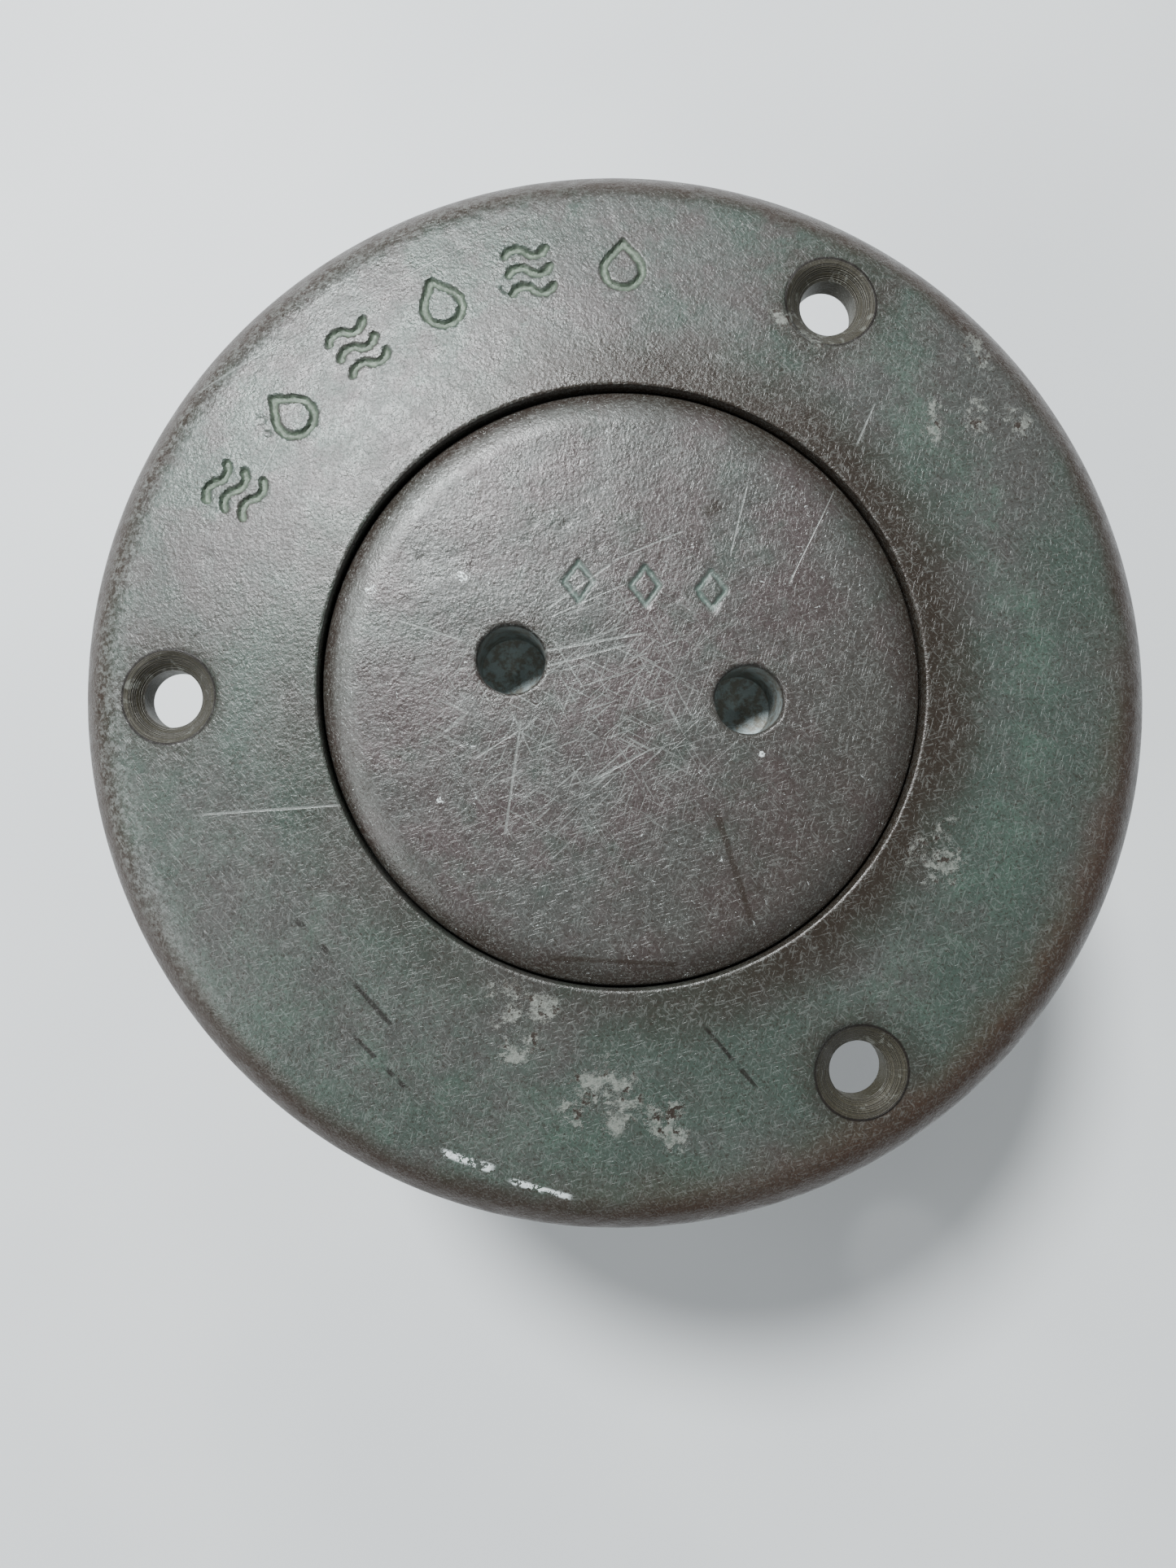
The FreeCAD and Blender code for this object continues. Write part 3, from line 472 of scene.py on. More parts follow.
def flange_points():
    """Points over the top: fine at the marks, the countersinks and both edges."""
    half = MARK_HALF + 0.7
    centres = [polar(MARK_RADIUS, angle) for angle, _ in mark_angles()]
    base = polar_points(OPENING_RADIUS + 1.6, FLANGE_RADIUS - 4.6, 0.62, 51)

    def clear(x, y):
        free = screw_distance(x, y) > SCREW_CLEAR
        for cx, cy in centres:
            free &= np.hypot(x - cx, y - cy) > half * 1.02
        return free

    parts = [keep(base, clear)]
    for angle, _ in mark_angles():
        centre = polar(MARK_RADIUS, angle)
        patch = grid_patch(centre, half, half, angle, 0.17)
        parts.append(keep(patch, lambda x, y: np.hypot(x - centre[0], y - centre[1]) < half))
    for angle in SCREW_ANGLES:
        centre = polar(SCREW_CIRCLE, angle)
        for radius in np.arange(SCREW_HOLE + 0.25, 6.0, 0.25):
            parts.append(circle_points(radius, int(2 * math.pi * radius / 0.27), centre))
        parts.append(circle_points(SCREW_HOLE, HOLE_COLUMNS, centre))
    for step in (0.0, 0.12, 0.27, 0.45, 0.7, 1.1):
        parts.append(circle_points(OPENING_RADIUS + step, COLUMNS))
    for step in (0.0, 0.12, 0.3, 0.5, 0.8, 1.15, 1.5, 1.9, 2.3, 2.75, 3.2, 3.7, 4.2):
        parts.append(circle_points(FLANGE_RADIUS - step, COLUMNS))
    return np.vstack(parts)


def ring_test(inner, outer, holes):
    def inside(x, y):
        radius = np.hypot(x, y)
        return (radius > inner) & (radius < outer) & holes(x, y)
    return inside


def neck_profile():
    """Outside of the neck and hose tail, from the flange's underside down and up the bore."""
    outside = [(COLLAR_RADIUS, 0), (COLLAR_RADIUS, -2), (COLLAR_RADIUS, -4), (33.6, -6), (NECK_RADIUS, -8)]
    outside += [(NECK_RADIUS, -8.0 - 1.3 * step) for step in range(1, 10)] + [(NECK_RADIUS, -21)]
    outside += [(28.5, -25)] + [(TAIL_RADIUS, height) for height in (-29, -34, -39, -43.4)]
    for barb in range(BARBS):
        top = -46.0 - BARB_PITCH * barb
        outside += [(BARB_ROOT, top), (TAIL_RADIUS, top), (TAIL_RADIUS, top - 2.6)]
    outside += [(TAIL_LIP, TAIL_END)]
    inside = [(THROAT_RADIUS, height) for height in (TAIL_END, -64, -50, -38, -26)]
    inside += [(THREAD_RELIEF, -19.5), (THREAD_RELIEF, THREAD_END)]
    return outside + inside


def plug_ridge_half(radius):
    return THREAD_PITCH / 2 - GROOVE_FLOOR_HALF - (radius - PLUG_ROOT) * FLANK_SLOPE


def make_flange():
    shell = Shell()
    outside_holes = lambda x, y: screw_distance(x, y) > SCREW_HOLE - 0.002
    inside = ring_test(OPENING_RADIUS + 0.005, FLANGE_RADIUS, outside_holes)
    flat, faces = triangulate(flange_points(), inside)
    radius = np.hypot(flat[:, 0], flat[:, 1])
    height = flange_top(flat[:, 0], flat[:, 1])
    outer = radius > FLANGE_RADIUS - 1e-4
    inner = radius < OPENING_RADIUS + 1e-4
    height[outer] = RIM_LAND
    height[inner] = OPENING_HEIGHT - OPENING_EDGE
    bore = screw_distance(flat[:, 0], flat[:, 1]) < SCREW_HOLE + 1e-4
    height[bore] = COUNTERSINK_FLOOR
    shell.add(np.column_stack((flat, height)), faces)

    parts = [keep(polar_points(COLLAR_RADIUS + 0.9, FLANGE_RADIUS - 0.9, 1.1, 52),
                  lambda x, y: screw_distance(x, y) > SCREW_PAD + 1.0)]
    for angle in SCREW_ANGLES:
        centre = polar(SCREW_CIRCLE, angle)
        parts.append(circle_points(SCREW_HOLE, HOLE_COLUMNS, centre))
        for step in (4.2, 5.4, SCREW_PAD, SCREW_PAD + 0.25, SCREW_PAD + 0.5):
            parts.append(circle_points(step, 72, centre))
    for step in (RELIEF[0], RELIEF[0] + 0.5, RELIEF[1] - 0.5, RELIEF[1]):
        ring = circle_points(step, 360)
        parts.append(keep(ring, lambda x, y: screw_distance(x, y) > SCREW_PAD + 0.7))
    parts += [circle_points(COLLAR_RADIUS, COLUMNS), circle_points(FLANGE_RADIUS, COLUMNS)]
    inside = ring_test(COLLAR_RADIUS + 0.005, FLANGE_RADIUS, outside_holes)
    flat, faces = triangulate(np.vstack(parts), inside)
    height = flange_underside(flat[:, 0], flat[:, 1])
    shell.add(np.column_stack((flat, height)), faces, flip=True)

    for angle in SCREW_ANGLES:
        loop = circle_points(SCREW_HOLE, HOLE_COLUMNS, polar(SCREW_CIRCLE, angle))
        shell.bands([at_height(loop, height) for height in (0, 1.4, COUNTERSINK_FLOOR)])
    shell.bands(lathe_loops([(FLANGE_RADIUS, 0), (FLANGE_RADIUS, RIM_LAND * 0.5), (FLANGE_RADIUS, RIM_LAND)]))
    shell.bands(lathe_loops(neck_profile()))
    mouth_heights = np.linspace(THREAD_MOUTH, SEAT_HEIGHT, 7)[1:]
    heights = np.append(np.linspace(THREAD_END, THREAD_MOUTH, 34), mouth_heights)
    slope = (MOUTH_RADIUS - THREAD_MINOR) / (SEAT_HEIGHT - THREAD_MOUTH)
    cone = THREAD_MINOR + np.maximum(heights - THREAD_MOUTH, 0) * slope
    half = plug_ridge_half(THREAD_GROOVE) + FLANK_PLAY
    thread = thread_loops(heights, cone, THREAD_MINOR, THREAD_GROOVE, NECK_GROOVE_START, half, True)
    mouth = [(OPENING_RADIUS, SEAT_HEIGHT)]
    wall = [(OPENING_RADIUS, z) for z in (0.0, 2.0, 4.0, OPENING_HEIGHT - OPENING_EDGE)]
    shell.bands(lathe_loops([(THREAD_RELIEF, THREAD_END)]) + thread + lathe_loops(mouth + wall))
    item = shell.object("flange_casting")
    add_lug(item)
    return item


def add_lug(item):
    """Join the bonding lug to the neck with a union."""
    low, high = box_mm("bond_washer")
    centre = (low[2] + high[2]) / 2
    face = -high[1]
    bpy.ops.mesh.primitive_cylinder_add(vertices=96, radius=LUG_RADIUS * MM, depth=LUG_LENGTH * MM,
                                        location=(0, -(face - LUG_LENGTH / 2) * MM, centre * MM),
                                        rotation=(math.pi / 2, 0, 0))
    lug = bpy.context.object
    modifier = item.modifiers.new("lug", "BOOLEAN")
    modifier.operation = "UNION"
    modifier.solver = "EXACT"
    modifier.object = lug
    apply_modifiers(item)
    bpy.data.objects.remove(lug)
    item.data.polygons.foreach_set("use_smooth", [True] * len(item.data.polygons))
    item.data.set_sharp_from_angle(angle=SHARP_ANGLE)


def apply_modifiers(item):
    bpy.context.view_layer.update()
    graph = bpy.context.evaluated_depsgraph_get()
    mesh = bpy.data.meshes.new_from_object(item.evaluated_get(graph))
    old = item.data
    item.modifiers.clear()
    item.data = mesh
    mesh.name = item.name
    bpy.data.meshes.remove(old)


# ---------------------------------------------------------------- cap

def spanner_centres():
    x, y = polar(SPANNER_HALF_PITCH, SPANNER_ANGLE)
    return [(SPANNER_SHIFT[0] + side * x, SPANNER_SHIFT[1] + side * y) for side in (1, -1)]


def spanner_distance(x, y):
    distances = [np.hypot(x - cx, y - cy) for cx, cy in spanner_centres()]
    return np.minimum(*distances)


def cap_profile(radius):
    crown = CAP_TOP - CAP_CROWN_BEND + np.sqrt(CAP_CROWN_BEND**2 - radius**2)
    edge_top = CAP_TOP - CAP_CROWN_BEND + math.sqrt(CAP_CROWN_BEND**2 - CAP_CROWN_RADIUS**2)
    edge = arc_height(radius, (CAP_CROWN_RADIUS, edge_top), (CAP_RADIUS, CAP_EDGE_HEIGHT), CAP_EDGE_BEND)
    height = np.where(radius > CAP_CROWN_RADIUS, edge, crown)
    corner = np.clip(radius - (CAP_RADIUS - CAP_CORNER), 0, CAP_CORNER)
    return height - CAP_CORNER_SQUASH * (CAP_CORNER - np.sqrt(np.maximum(CAP_CORNER**2 - corner**2, 0)))


def cap_top(x, y):
    """Height of the worn cap: knocks, stamped marks and softened spanner holes."""
    radius = np.hypot(x, y)
    fade = 1 - smooth(radius, CAP_RADIUS - 1.0, CAP_RADIUS - 0.1)
    height = cap_profile(radius)
    height = height - fade * 0.025 * (1 + ripple(x, y, 9.0, 61))
    height = height - fade * 0.007 * (1 + ripple(x, y, 1.4, 62))
    height = height - fade * dents(x, y, 63, 60, CAP_RADIUS, 0.12, (0.25, 0.8))
    height = height - stamp_depth(x, y)
    away = spanner_distance(x, y) + 0.06 * ripple(x, y, 1.8, 64)
    return height - 0.4 * (1 - smooth(away, SPANNER_HOLE - 0.1, SPANNER_HOLE + 0.45)) ** 1.6


def cap_underside(x, y):
    """Height of the plate's underside, with its three bosses."""
    boss = 1 - smooth(spanner_distance(x, y), SPANNER_BOSS[0] - 0.15, SPANNER_BOSS[0] + 0.25)
    middle = 1 - smooth(np.hypot(x, y), SWIVEL_BOSS[0] - 0.15, SWIVEL_BOSS[0] + 0.25)
    drop = np.maximum(boss * (SPANNER_BOSS[1] + PLATE_UNDERSIDE), middle * (SWIVEL_BOSS[1] + PLATE_UNDERSIDE))
    return PLATE_UNDERSIDE - drop


def cap_points():
    base = polar_points(0.3, CAP_RADIUS - 3.2, 0.42, 71)

    def clear(x, y):
        free = spanner_distance(x, y) > 5.0
        return free & ~((np.abs(x - 2.1) < 9.4) & (np.abs(y - 11.0) < 2.9))

    parts = [keep(base, clear)]
    patch = grid_patch((2.1, 11.0), 9.3, 2.8, 90, 0.16)
    parts.append(keep(patch, lambda x, y: spanner_distance(x, y) > 5.05))
    for centre in spanner_centres():
        for step in (0.0, 0.12, 0.25, 0.4, 0.58, 0.78, 1.05):
            parts.append(circle_points(SPANNER_HOLE + step, HOLE_COLUMNS, centre))
    for step in (0.0, 0.1, 0.22, 0.38, 0.58, 0.85, 1.15, 1.5, 1.9, 2.3, 2.75):
        parts.append(circle_points(CAP_RADIUS - step, COLUMNS))
    return np.vstack(parts)


def add_spanner_hole(shell, centre, top_loop):
    """The blind hole's wall and its conical floor."""
    bottom = CAP_TOP - SPANNER_DEPTH
    tip = bottom - SPANNER_HOLE / math.tan(math.radians(59))
    loops = [top_loop]
    for height in (4.6, 3.0, 1.4, 0.2, bottom):
        loops.append(at_height(circle_points(SPANNER_HOLE, HOLE_COLUMNS, centre), height))
    for share in (0.66, 0.33, 0.08):
        loop = circle_points(SPANNER_HOLE * share, HOLE_COLUMNS, centre)
        loops.append(at_height(loop, tip + (bottom - tip) * share))
    shell.bands(loops)
    last = loops[-1]
    fan = np.vstack((last, [[centre[0], centre[1], tip]]))
    ring = np.arange(HOLE_COLUMNS)
    shell.add(fan, np.column_stack((ring, (ring + 1) % HOLE_COLUMNS, np.full(HOLE_COLUMNS, HOLE_COLUMNS))))


def make_cap():
    shell = Shell()
    inside = ring_test(-1, CAP_RADIUS, lambda x, y: spanner_distance(x, y) > SPANNER_HOLE - 0.002)
    flat, faces = triangulate(cap_points(), inside)
    height = cap_top(flat[:, 0], flat[:, 1])
    outer = np.hypot(flat[:, 0], flat[:, 1]) > CAP_RADIUS - 1e-4
    edge_height = CAP_EDGE_HEIGHT - CAP_CORNER_SQUASH * CAP_CORNER
    height[outer] = edge_height
    height[spanner_distance(flat[:, 0], flat[:, 1]) < SPANNER_HOLE + 1e-4] = SPANNER_RIM
    shell.add(np.column_stack((flat, height)), faces)
    for centre in spanner_centres():
        loop = circle_points(SPANNER_HOLE, HOLE_COLUMNS, centre)
        add_spanner_hole(shell, centre, at_height(loop, SPANNER_RIM))

    points = np.vstack([polar_points(0.5, PLUG_BORE - 0.5, 0.55, 72), circle_points(PLUG_BORE, COLUMNS)])
    flat, faces = triangulate(points, ring_test(-1, PLUG_BORE, lambda x, y: x == x))
    shell.add(np.column_stack((flat, cap_underside(flat[:, 0], flat[:, 1]))), faces, flip=True)

    side = [(CAP_RADIUS, edge_height), (CAP_RADIUS, 3.0), (CAP_RADIUS, CAP_HEAD_UNDERSIDE)]
    side += [(PLUG_ROOT, CAP_HEAD_UNDERSIDE), (PLUG_ROOT, -1.8), (PLUG_ROOT, PLUG_THREAD_TOP)]
    bevel = PLUG_END + PLUG_CHAMFER
    heights = np.append(np.linspace(PLUG_THREAD_TOP, bevel, 34), np.linspace(bevel, PLUG_END, 5)[1:])
    taper = PLUG_THREAD - np.maximum(bevel - heights, 0)
    thread = thread_loops(heights, taper, PLUG_THREAD, PLUG_ROOT, PLUG_GROOVE_START, GROOVE_FLOOR_HALF, False)
    end = [(PLUG_BORE, PLUG_END), (PLUG_BORE, -10), (PLUG_BORE, -5)]
    end.append((PLUG_BORE, PLATE_UNDERSIDE))
    shell.bands(lathe_loops(side) + thread + lathe_loops(end))
    return shell.object("cap_casting")


flange = make_flange()
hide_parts("deck_flange")
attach(flange, "deck")
cap = make_cap()
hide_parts("cap")
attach(cap, "cap")


# ---------------------------------------------------------------- node graphs

def srgb(red, green, blue):
    """A display colour, 0 to 255, as linear light."""
    linear = []
    for value in (red / 255, green / 255, blue / 255):
        linear.append(value / 12.92 if value <= 0.04045 else ((value + 0.055) / 1.055) ** 2.4)
    return (*linear, 1.0)


class Graph:
    """Short names for the nodes of one material."""

    def __init__(self, name):
        self.material = bpy.data.materials.new(name)
        self.material.use_nodes = True
        self.tree = self.material.node_tree
        self.tree.nodes.clear()
        self.shader = self.tree.nodes.new("ShaderNodeBsdfPrincipled")
        output = self.tree.nodes.new("ShaderNodeOutputMaterial")
        self.tree.links.new(self.shader.outputs[0], output.inputs["Surface"])
        place = self.tree.nodes.new("ShaderNodeTexCoord").outputs["Object"]
        self.mm = self.vector("SCALE", place, scale=1 / MM)
        parts = self.make("ShaderNodeSeparateXYZ", [self.mm]).outputs
        self.x, self.y, self.z = parts

    def make(self, kind, values=(), **settings):
        item = self.tree.nodes.new(kind)
        for key, value in settings.items():
            setattr(item, key, value)
        for index, value in enumerate(values):
            self.put(item.inputs[index], value)
        return item

    def put(self, socket, value):
        if isinstance(value, bpy.types.NodeSocket):
            self.tree.links.new(value, socket)
        elif value is not None:
            socket.default_value = value

    def math(self, operation, first, second=None, clamp=False):
        return self.make("ShaderNodeMath", [first, second], operation=operation, use_clamp=clamp).outputs[0]

    def add(self, first, second):
        return self.math("ADD", first, second)

    def times(self, first, second):
        return self.math("MULTIPLY", first, second)

    def vector(self, operation, first, second=None, scale=None):
        item = self.make("ShaderNodeVectorMath", [first, second], operation=operation)
        if scale is not None:
            item.inputs["Scale"].default_value = scale
        return item.outputs[0]

    def ramp(self, value, low, high, start=0.0, end=1.0):
        """Smoothly from start to end as value goes from low to high."""
        item = self.make("ShaderNodeMapRange", [value, low, high, start, end])
        item.interpolation_type = "SMOOTHSTEP"
        return item.outputs[0]

    def turned(self, degrees, stretch=(1, 1, 1), offset=(0, 0, 0)):
        """Coordinates in millimetres, turned about Z, then stretched."""
        item = self.make("ShaderNodeMapping", [self.mm], vector_type="POINT")
        item.inputs["Location"].default_value = offset
        item.inputs["Rotation"].default_value = (0, 0, math.radians(degrees))
        return self.vector("MULTIPLY", item.outputs[0], stretch)

    def noise(self, size, detail=2.0, rough=0.5, place=None, warp=0.0, offset=0.0):
        """Noise, about 0.3 to 0.7, with features of this size in millimetres."""
        item = self.make("ShaderNodeTexNoise", noise_dimensions="3D")
        where = place if place is not None else self.mm
        if offset:
            where = self.vector("ADD", where, (offset, offset * 0.7, offset * 0.3))
        self.put(item.inputs["Vector"], where)
        item.inputs["Scale"].default_value = 1 / size
        item.inputs["Detail"].default_value = detail
        item.inputs["Roughness"].default_value = rough
        item.inputs["Distortion"].default_value = warp
        return item.outputs["Fac"]

    def mix(self, share, first, second):
        item = self.make("ShaderNodeMix", data_type="RGBA")
        self.put(item.inputs["Factor"], share)
        self.put(item.inputs[6], first)
        self.put(item.inputs[7], second)
        return item.outputs[2]

    def attribute(self, name):
        item = self.tree.nodes.new("ShaderNodeAttribute")
        item.attribute_name = name
        return item.outputs["Fac"]

    def radius(self, centre=(0, 0)):
        dx = self.add(self.x, -centre[0])
        dy = self.add(self.y, -centre[1])
        return self.math("SQRT", self.add(self.times(dx, dx), self.times(dy, dy)))

    def nearest(self, centres):
        """Distance from the nearest of some points of the top."""
        total = self.radius(centres[0])
        for centre in centres[1:]:
            total = self.math("MINIMUM", total, self.radius(centre))
        return total

    def noise_along(self, value, detail):
        """Noise that changes with one number only, for turned rings."""
        item = self.make("ShaderNodeTexNoise", noise_dimensions="1D")
        self.put(item.inputs["W"], value)
        item.inputs["Detail"].default_value = detail
        return item.outputs["Fac"]

    def bump(self, height, strength, distance):
        item = self.make("ShaderNodeBump")
        item.inputs["Strength"].default_value = strength
        item.inputs["Distance"].default_value = distance
        self.put(item.inputs["Height"], height)
        return item.outputs["Normal"]

    def most(self, *values):
        total = values[0]
        for value in values[1:]:
            total = self.math("MAXIMUM", total, value)
        return total

    def line(self, start, end, width):
        """A thin line, 1 on it and 0 off it, between two points of the top."""
        dx, dy = end[0] - start[0], end[1] - start[1]
        length = math.hypot(dx, dy)
        ux, uy = dx / length, dy / length
        px, py = self.add(self.x, -start[0]), self.add(self.y, -start[1])
        along = self.add(self.times(px, ux), self.times(py, uy))
        across = self.math("ABSOLUTE", self.add(self.times(px, -uy), self.times(py, ux)))
        wobble = self.noise(6.0, 2)
        across = self.math("ABSOLUTE", self.add(across, self.add(self.times(wobble, 0.3), -0.15)))
        inside = self.times(self.ramp(along, 0, 1.0), self.ramp(along, length - 1.0, length, 1, 0))
        return self.times(inside, self.ramp(across, width * 0.4, width, 1, 0))

    def scratches(self, size, stretch, degrees, low, high, offset):
        """Short straight scratches in one direction: stretched noise cut off near its top."""
        place = self.turned(degrees, (1, 1 / stretch, 1), (offset, offset * 1.7, 0))
        value = self.noise(size, 1.0, 0.4, place)
        return self.ramp(value, low, high)


# ---------------------------------------------------------------- bronze patina

GREY = srgb(70, 71, 68)
GREY_GREEN = srgb(62, 73, 66)
VERDIGRIS = srgb(72, 94, 82)
BROWN = srgb(44, 36, 29)
RUST = srgb(66, 45, 32)
DARK = srgb(28, 23, 19)
EDGE = srgb(42, 32, 25)
VIOLET = srgb(73, 65, 64)
PALE = srgb(138, 142, 138)
CHALK = srgb(140, 143, 135)
OLIVE = srgb(66, 62, 48)
PAINT = srgb(214, 222, 220)
HOLE_GREY = srgb(168, 180, 180)
HOLE_DULL = srgb(136, 134, 124)


def speckle(graph, colour, strength=1.0):
    """Fine dark grains and pale fibres all over the patina, with the relief that they make."""
    grain = graph.noise(0.30, 4, 0.75)
    dark = graph.times(graph.ramp(grain, 0.50, 0.36), 0.7 * strength)
    colour = graph.mix(dark, colour, BROWN)
    fibres = graph.most(*[graph.scratches(0.15, 8, angle, 0.60, 0.72, angle) for angle in (15, 75, 138)])
    flecks = graph.ramp(graph.noise(0.30, 3, 0.7, offset=31), 0.57, 0.70)
    light = graph.most(flecks, graph.times(fibres, 0.9))
    colour = graph.mix(graph.times(light, 0.26 * strength), colour, PALE)
    pebble = graph.times(graph.noise(0.35, 2, 0.5, offset=53), 0.055)
    height = graph.add(graph.times(grain, 0.03), graph.times(graph.noise(1.6, 2, 0.5), 0.04))
    return colour, graph.add(graph.add(height, pebble), graph.times(fibres, 0.012))


def finish_patina(graph, colour, height, rough):
    graph.put(graph.shader.inputs["Base Color"], colour)
    graph.put(graph.shader.inputs["Roughness"], rough)
    graph.shader.inputs["Metallic"].default_value = 0.15
    graph.shader.inputs["IOR"].default_value = 1.5
    graph.put(graph.shader.inputs["Normal"], graph.bump(height, 1.0, MM))
    return graph.material


def crusts(graph, places, offset):
    """Where chalky crusts lie, and where their dark bare middles are."""
    reach = graph.most(*[graph.ramp(graph.radius(centre), size, size * 0.25) for centre, size in places])
    rough = graph.add(graph.noise(2.8, 7, 0.72, warp=0.3, offset=offset), graph.times(reach, 0.13))
    crust = graph.times(graph.ramp(rough, 0.57, 0.63), graph.ramp(reach, 0, 0.25))
    bare = graph.times(graph.ramp(graph.noise(1.6, 5, 0.7, offset=offset + 4), 0.53, 0.58), crust)
    return crust, bare


def flange_material():
    """Flange: grey-green, browner at its rim and round the cap, with verdigris, chalk and paint, a pale band
    on the rim's west side that is partly wear and partly painted highlight, and countersinks darkened partly
    with painted shade.
    """
    graph = Graph("flange_patina")
    radius = graph.radius()
    cloud = graph.noise(15, 4, 0.6)
    patch = graph.noise(5.0, 4, 0.6, offset=7)
    colour = graph.mix(graph.ramp(cloud, 0.40, 0.60), GREY, GREY_GREEN)
    north = graph.ramp(graph.add(graph.y, graph.times(graph.x, -0.5)), 5, 45)
    violet = graph.times(graph.ramp(patch, 0.44, 0.62), graph.add(graph.times(north, 0.5), 0.2))
    colour = graph.mix(violet, colour, VIOLET)

    wobble = graph.times(graph.add(graph.noise(7, 3, 0.6, offset=3), -0.5), 6)
    shifted = graph.add(radius, wobble)
    band = graph.times(graph.ramp(shifted, 37.5, 41.5), graph.ramp(shifted, 49.5, 44.5))
    east = graph.times(band, graph.ramp(graph.x, 12, 34))
    south_west = graph.ramp(graph.add(graph.times(graph.x, -0.55), graph.times(graph.y, -0.83)), 24, 42)
    where = graph.most(east, graph.times(south_west, 0.75), 0.10)
    streaks = graph.noise(6.0, 8, 0.74, warp=0.3, offset=19)
    green = graph.times(graph.ramp(streaks, 0.40, 0.66), where)
    broken = graph.ramp(graph.noise(0.9, 4, 0.75, offset=67), 0.36, 0.60, 0.55, 1.0)
    colour = graph.mix(graph.times(graph.times(green, broken), 0.62), colour, VERDIGRIS)

    rim = graph.ramp(graph.add(radius, graph.times(wobble, 0.5)), 52.6, 56.6)
    far_south_east = graph.ramp(graph.add(graph.times(graph.x, 0.7), graph.times(graph.y, -0.7)), 22, 50)
    rust = graph.times(graph.ramp(shifted, 48.5, 56.0), far_south_east)
    collar = graph.ramp(shifted, 40.0, 32.8)
    north_east = graph.ramp(graph.add(graph.x, graph.times(graph.y, 0.35)), -22, 14, 0.35, 0.95)
    collar = graph.times(collar, north_east)
    hole = graph.nearest([polar(SCREW_CIRCLE, angle) for angle in SCREW_ANGLES])
    around = graph.ramp(graph.add(hole, wobble), 8.6, 5.0)
    below = graph.ramp(graph.z, 0.4, -1.0)
    brown = graph.most(graph.times(rim, 0.92), collar, graph.times(around, 0.5), graph.times(below, 0.55))
    colour = graph.mix(brown, colour, BROWN)
    colour = graph.mix(graph.most(graph.times(rim, 0.6), graph.times(rust, 0.85)), colour, RUST)
    # painted highlight: a pale band on the west side of the rounded rim, partly wear and partly painted sheen
    # where the lamps catch the rim
    west = graph.ramp(graph.add(graph.times(graph.x, -0.9), graph.times(graph.y, 0.35)), 14, 44)
    worn = graph.times(graph.times(graph.ramp(radius, 51.0, 53.4), graph.ramp(radius, 56.6, 55.0)), west)
    worn = graph.times(worn, graph.ramp(graph.noise(0.7, 4, 0.75, offset=83), 0.44, 0.60))
    colour = graph.mix(graph.times(worn, 0.45), colour, PALE)
    colour, height = speckle(graph, colour)
    # the rim's dark brown edge colour is held back under the painted sheen band
    away_from_wear_and_sheen = graph.add(graph.times(worn, -0.7), 1.0)
    colour = graph.mix(graph.times(rim, graph.times(away_from_wear_and_sheen, 0.6)), colour, EDGE)

    engraved = graph.attribute("recess")
    moss = graph.mix(graph.ramp(graph.noise(0.8, 3, 0.7), 0.4, 0.6), srgb(82, 94, 80), srgb(106, 120, 104))
    colour = graph.mix(graph.times(engraved, 0.9), colour, moss)

    sink = graph.times(graph.ramp(hole, 5.05, 4.85), graph.ramp(graph.z, -0.2, 0.2))
    turned = graph.noise_along(graph.times(hole, 2.6), 0.5)
    # countersinks painted dark olive-brown: partly grime, partly painted shade for the shaded side of each
    # cone
    grime_and_shade = graph.mix(graph.ramp(turned, 0.40, 0.60), srgb(34, 30, 23), OLIVE)
    smear = graph.noise(2.2, 5, 0.7, warp=1.2, offset=5)
    grime_and_shade = graph.mix(graph.times(graph.ramp(smear, 0.56, 0.66), 0.35), grime_and_shade, CHALK)
    colour = graph.mix(graph.times(sink, 0.9), colour, grime_and_shade)
    # painted shade: a thin dark ring round the edge of each countersink
    lip = graph.times(graph.ramp(hole, 4.7, 4.92), graph.ramp(hole, 5.2, 5.0))
    colour = graph.mix(graph.times(lip, 0.95), colour, DARK)

    on_top = graph.ramp(graph.z, 1.6, 2.3)
    crust, bare = crusts(graph, FLANGE_CRUSTS, 9)
    crust = graph.times(crust, on_top)
    flaked = graph.ramp(graph.noise(0.6, 4, 0.8, offset=91), 0.40, 0.56, 0.25, 1.0)
    colour = graph.mix(graph.times(graph.times(crust, flaked), 0.62), colour, CHALK)
    colour = graph.mix(graph.times(bare, on_top), colour, BROWN)
    pits = graph.ramp(graph.noise(1.5, 4, 0.7, offset=23), 0.66, 0.71)
    pits = graph.times(pits, graph.ramp(patch, 0.5, 0.6))
    colour = graph.mix(graph.times(pits, 0.7), colour, BROWN)

    paint = graph.most(*[graph.line(*fleck) for fleck in PAINT_FLECKS])
    paint = graph.times(paint, graph.ramp(graph.noise(1.1, 4, 0.8, offset=3), 0.49, 0.52))
    colour = graph.mix(graph.times(paint, on_top), colour, PAINT)
    light_lines = graph.times(graph.most(*[graph.line(*line) for line in FLANGE_SCRATCHES]), on_top)
    colour = graph.mix(graph.times(light_lines, 0.5), colour, PALE)
    dark_lines = graph.times(graph.most(*[graph.line(*line) for line in FLANGE_DARK_LINES]), on_top)
    gaps = graph.ramp(graph.noise(1.8, 3, 0.6, offset=77), 0.42, 0.52)
    colour = graph.mix(graph.times(graph.times(dark_lines, gaps), 0.8), colour, DARK)

    height = graph.add(height, graph.add(graph.times(crust, 0.06), graph.times(bare, -0.05)))
    rings = graph.times(sink, graph.times(turned, 0.12))
    height = graph.add(height, graph.add(graph.times(light_lines, -0.02), rings))
    rough = graph.ramp(graph.noise(2.4, 4, 0.6, offset=2), 0.3, 0.7, 0.24, 0.36)
    rough = graph.add(rough, graph.times(graph.most(crust, graph.times(green, 0.6), engraved, sink), 0.22))
    return finish_patina(graph, colour, height, rough)


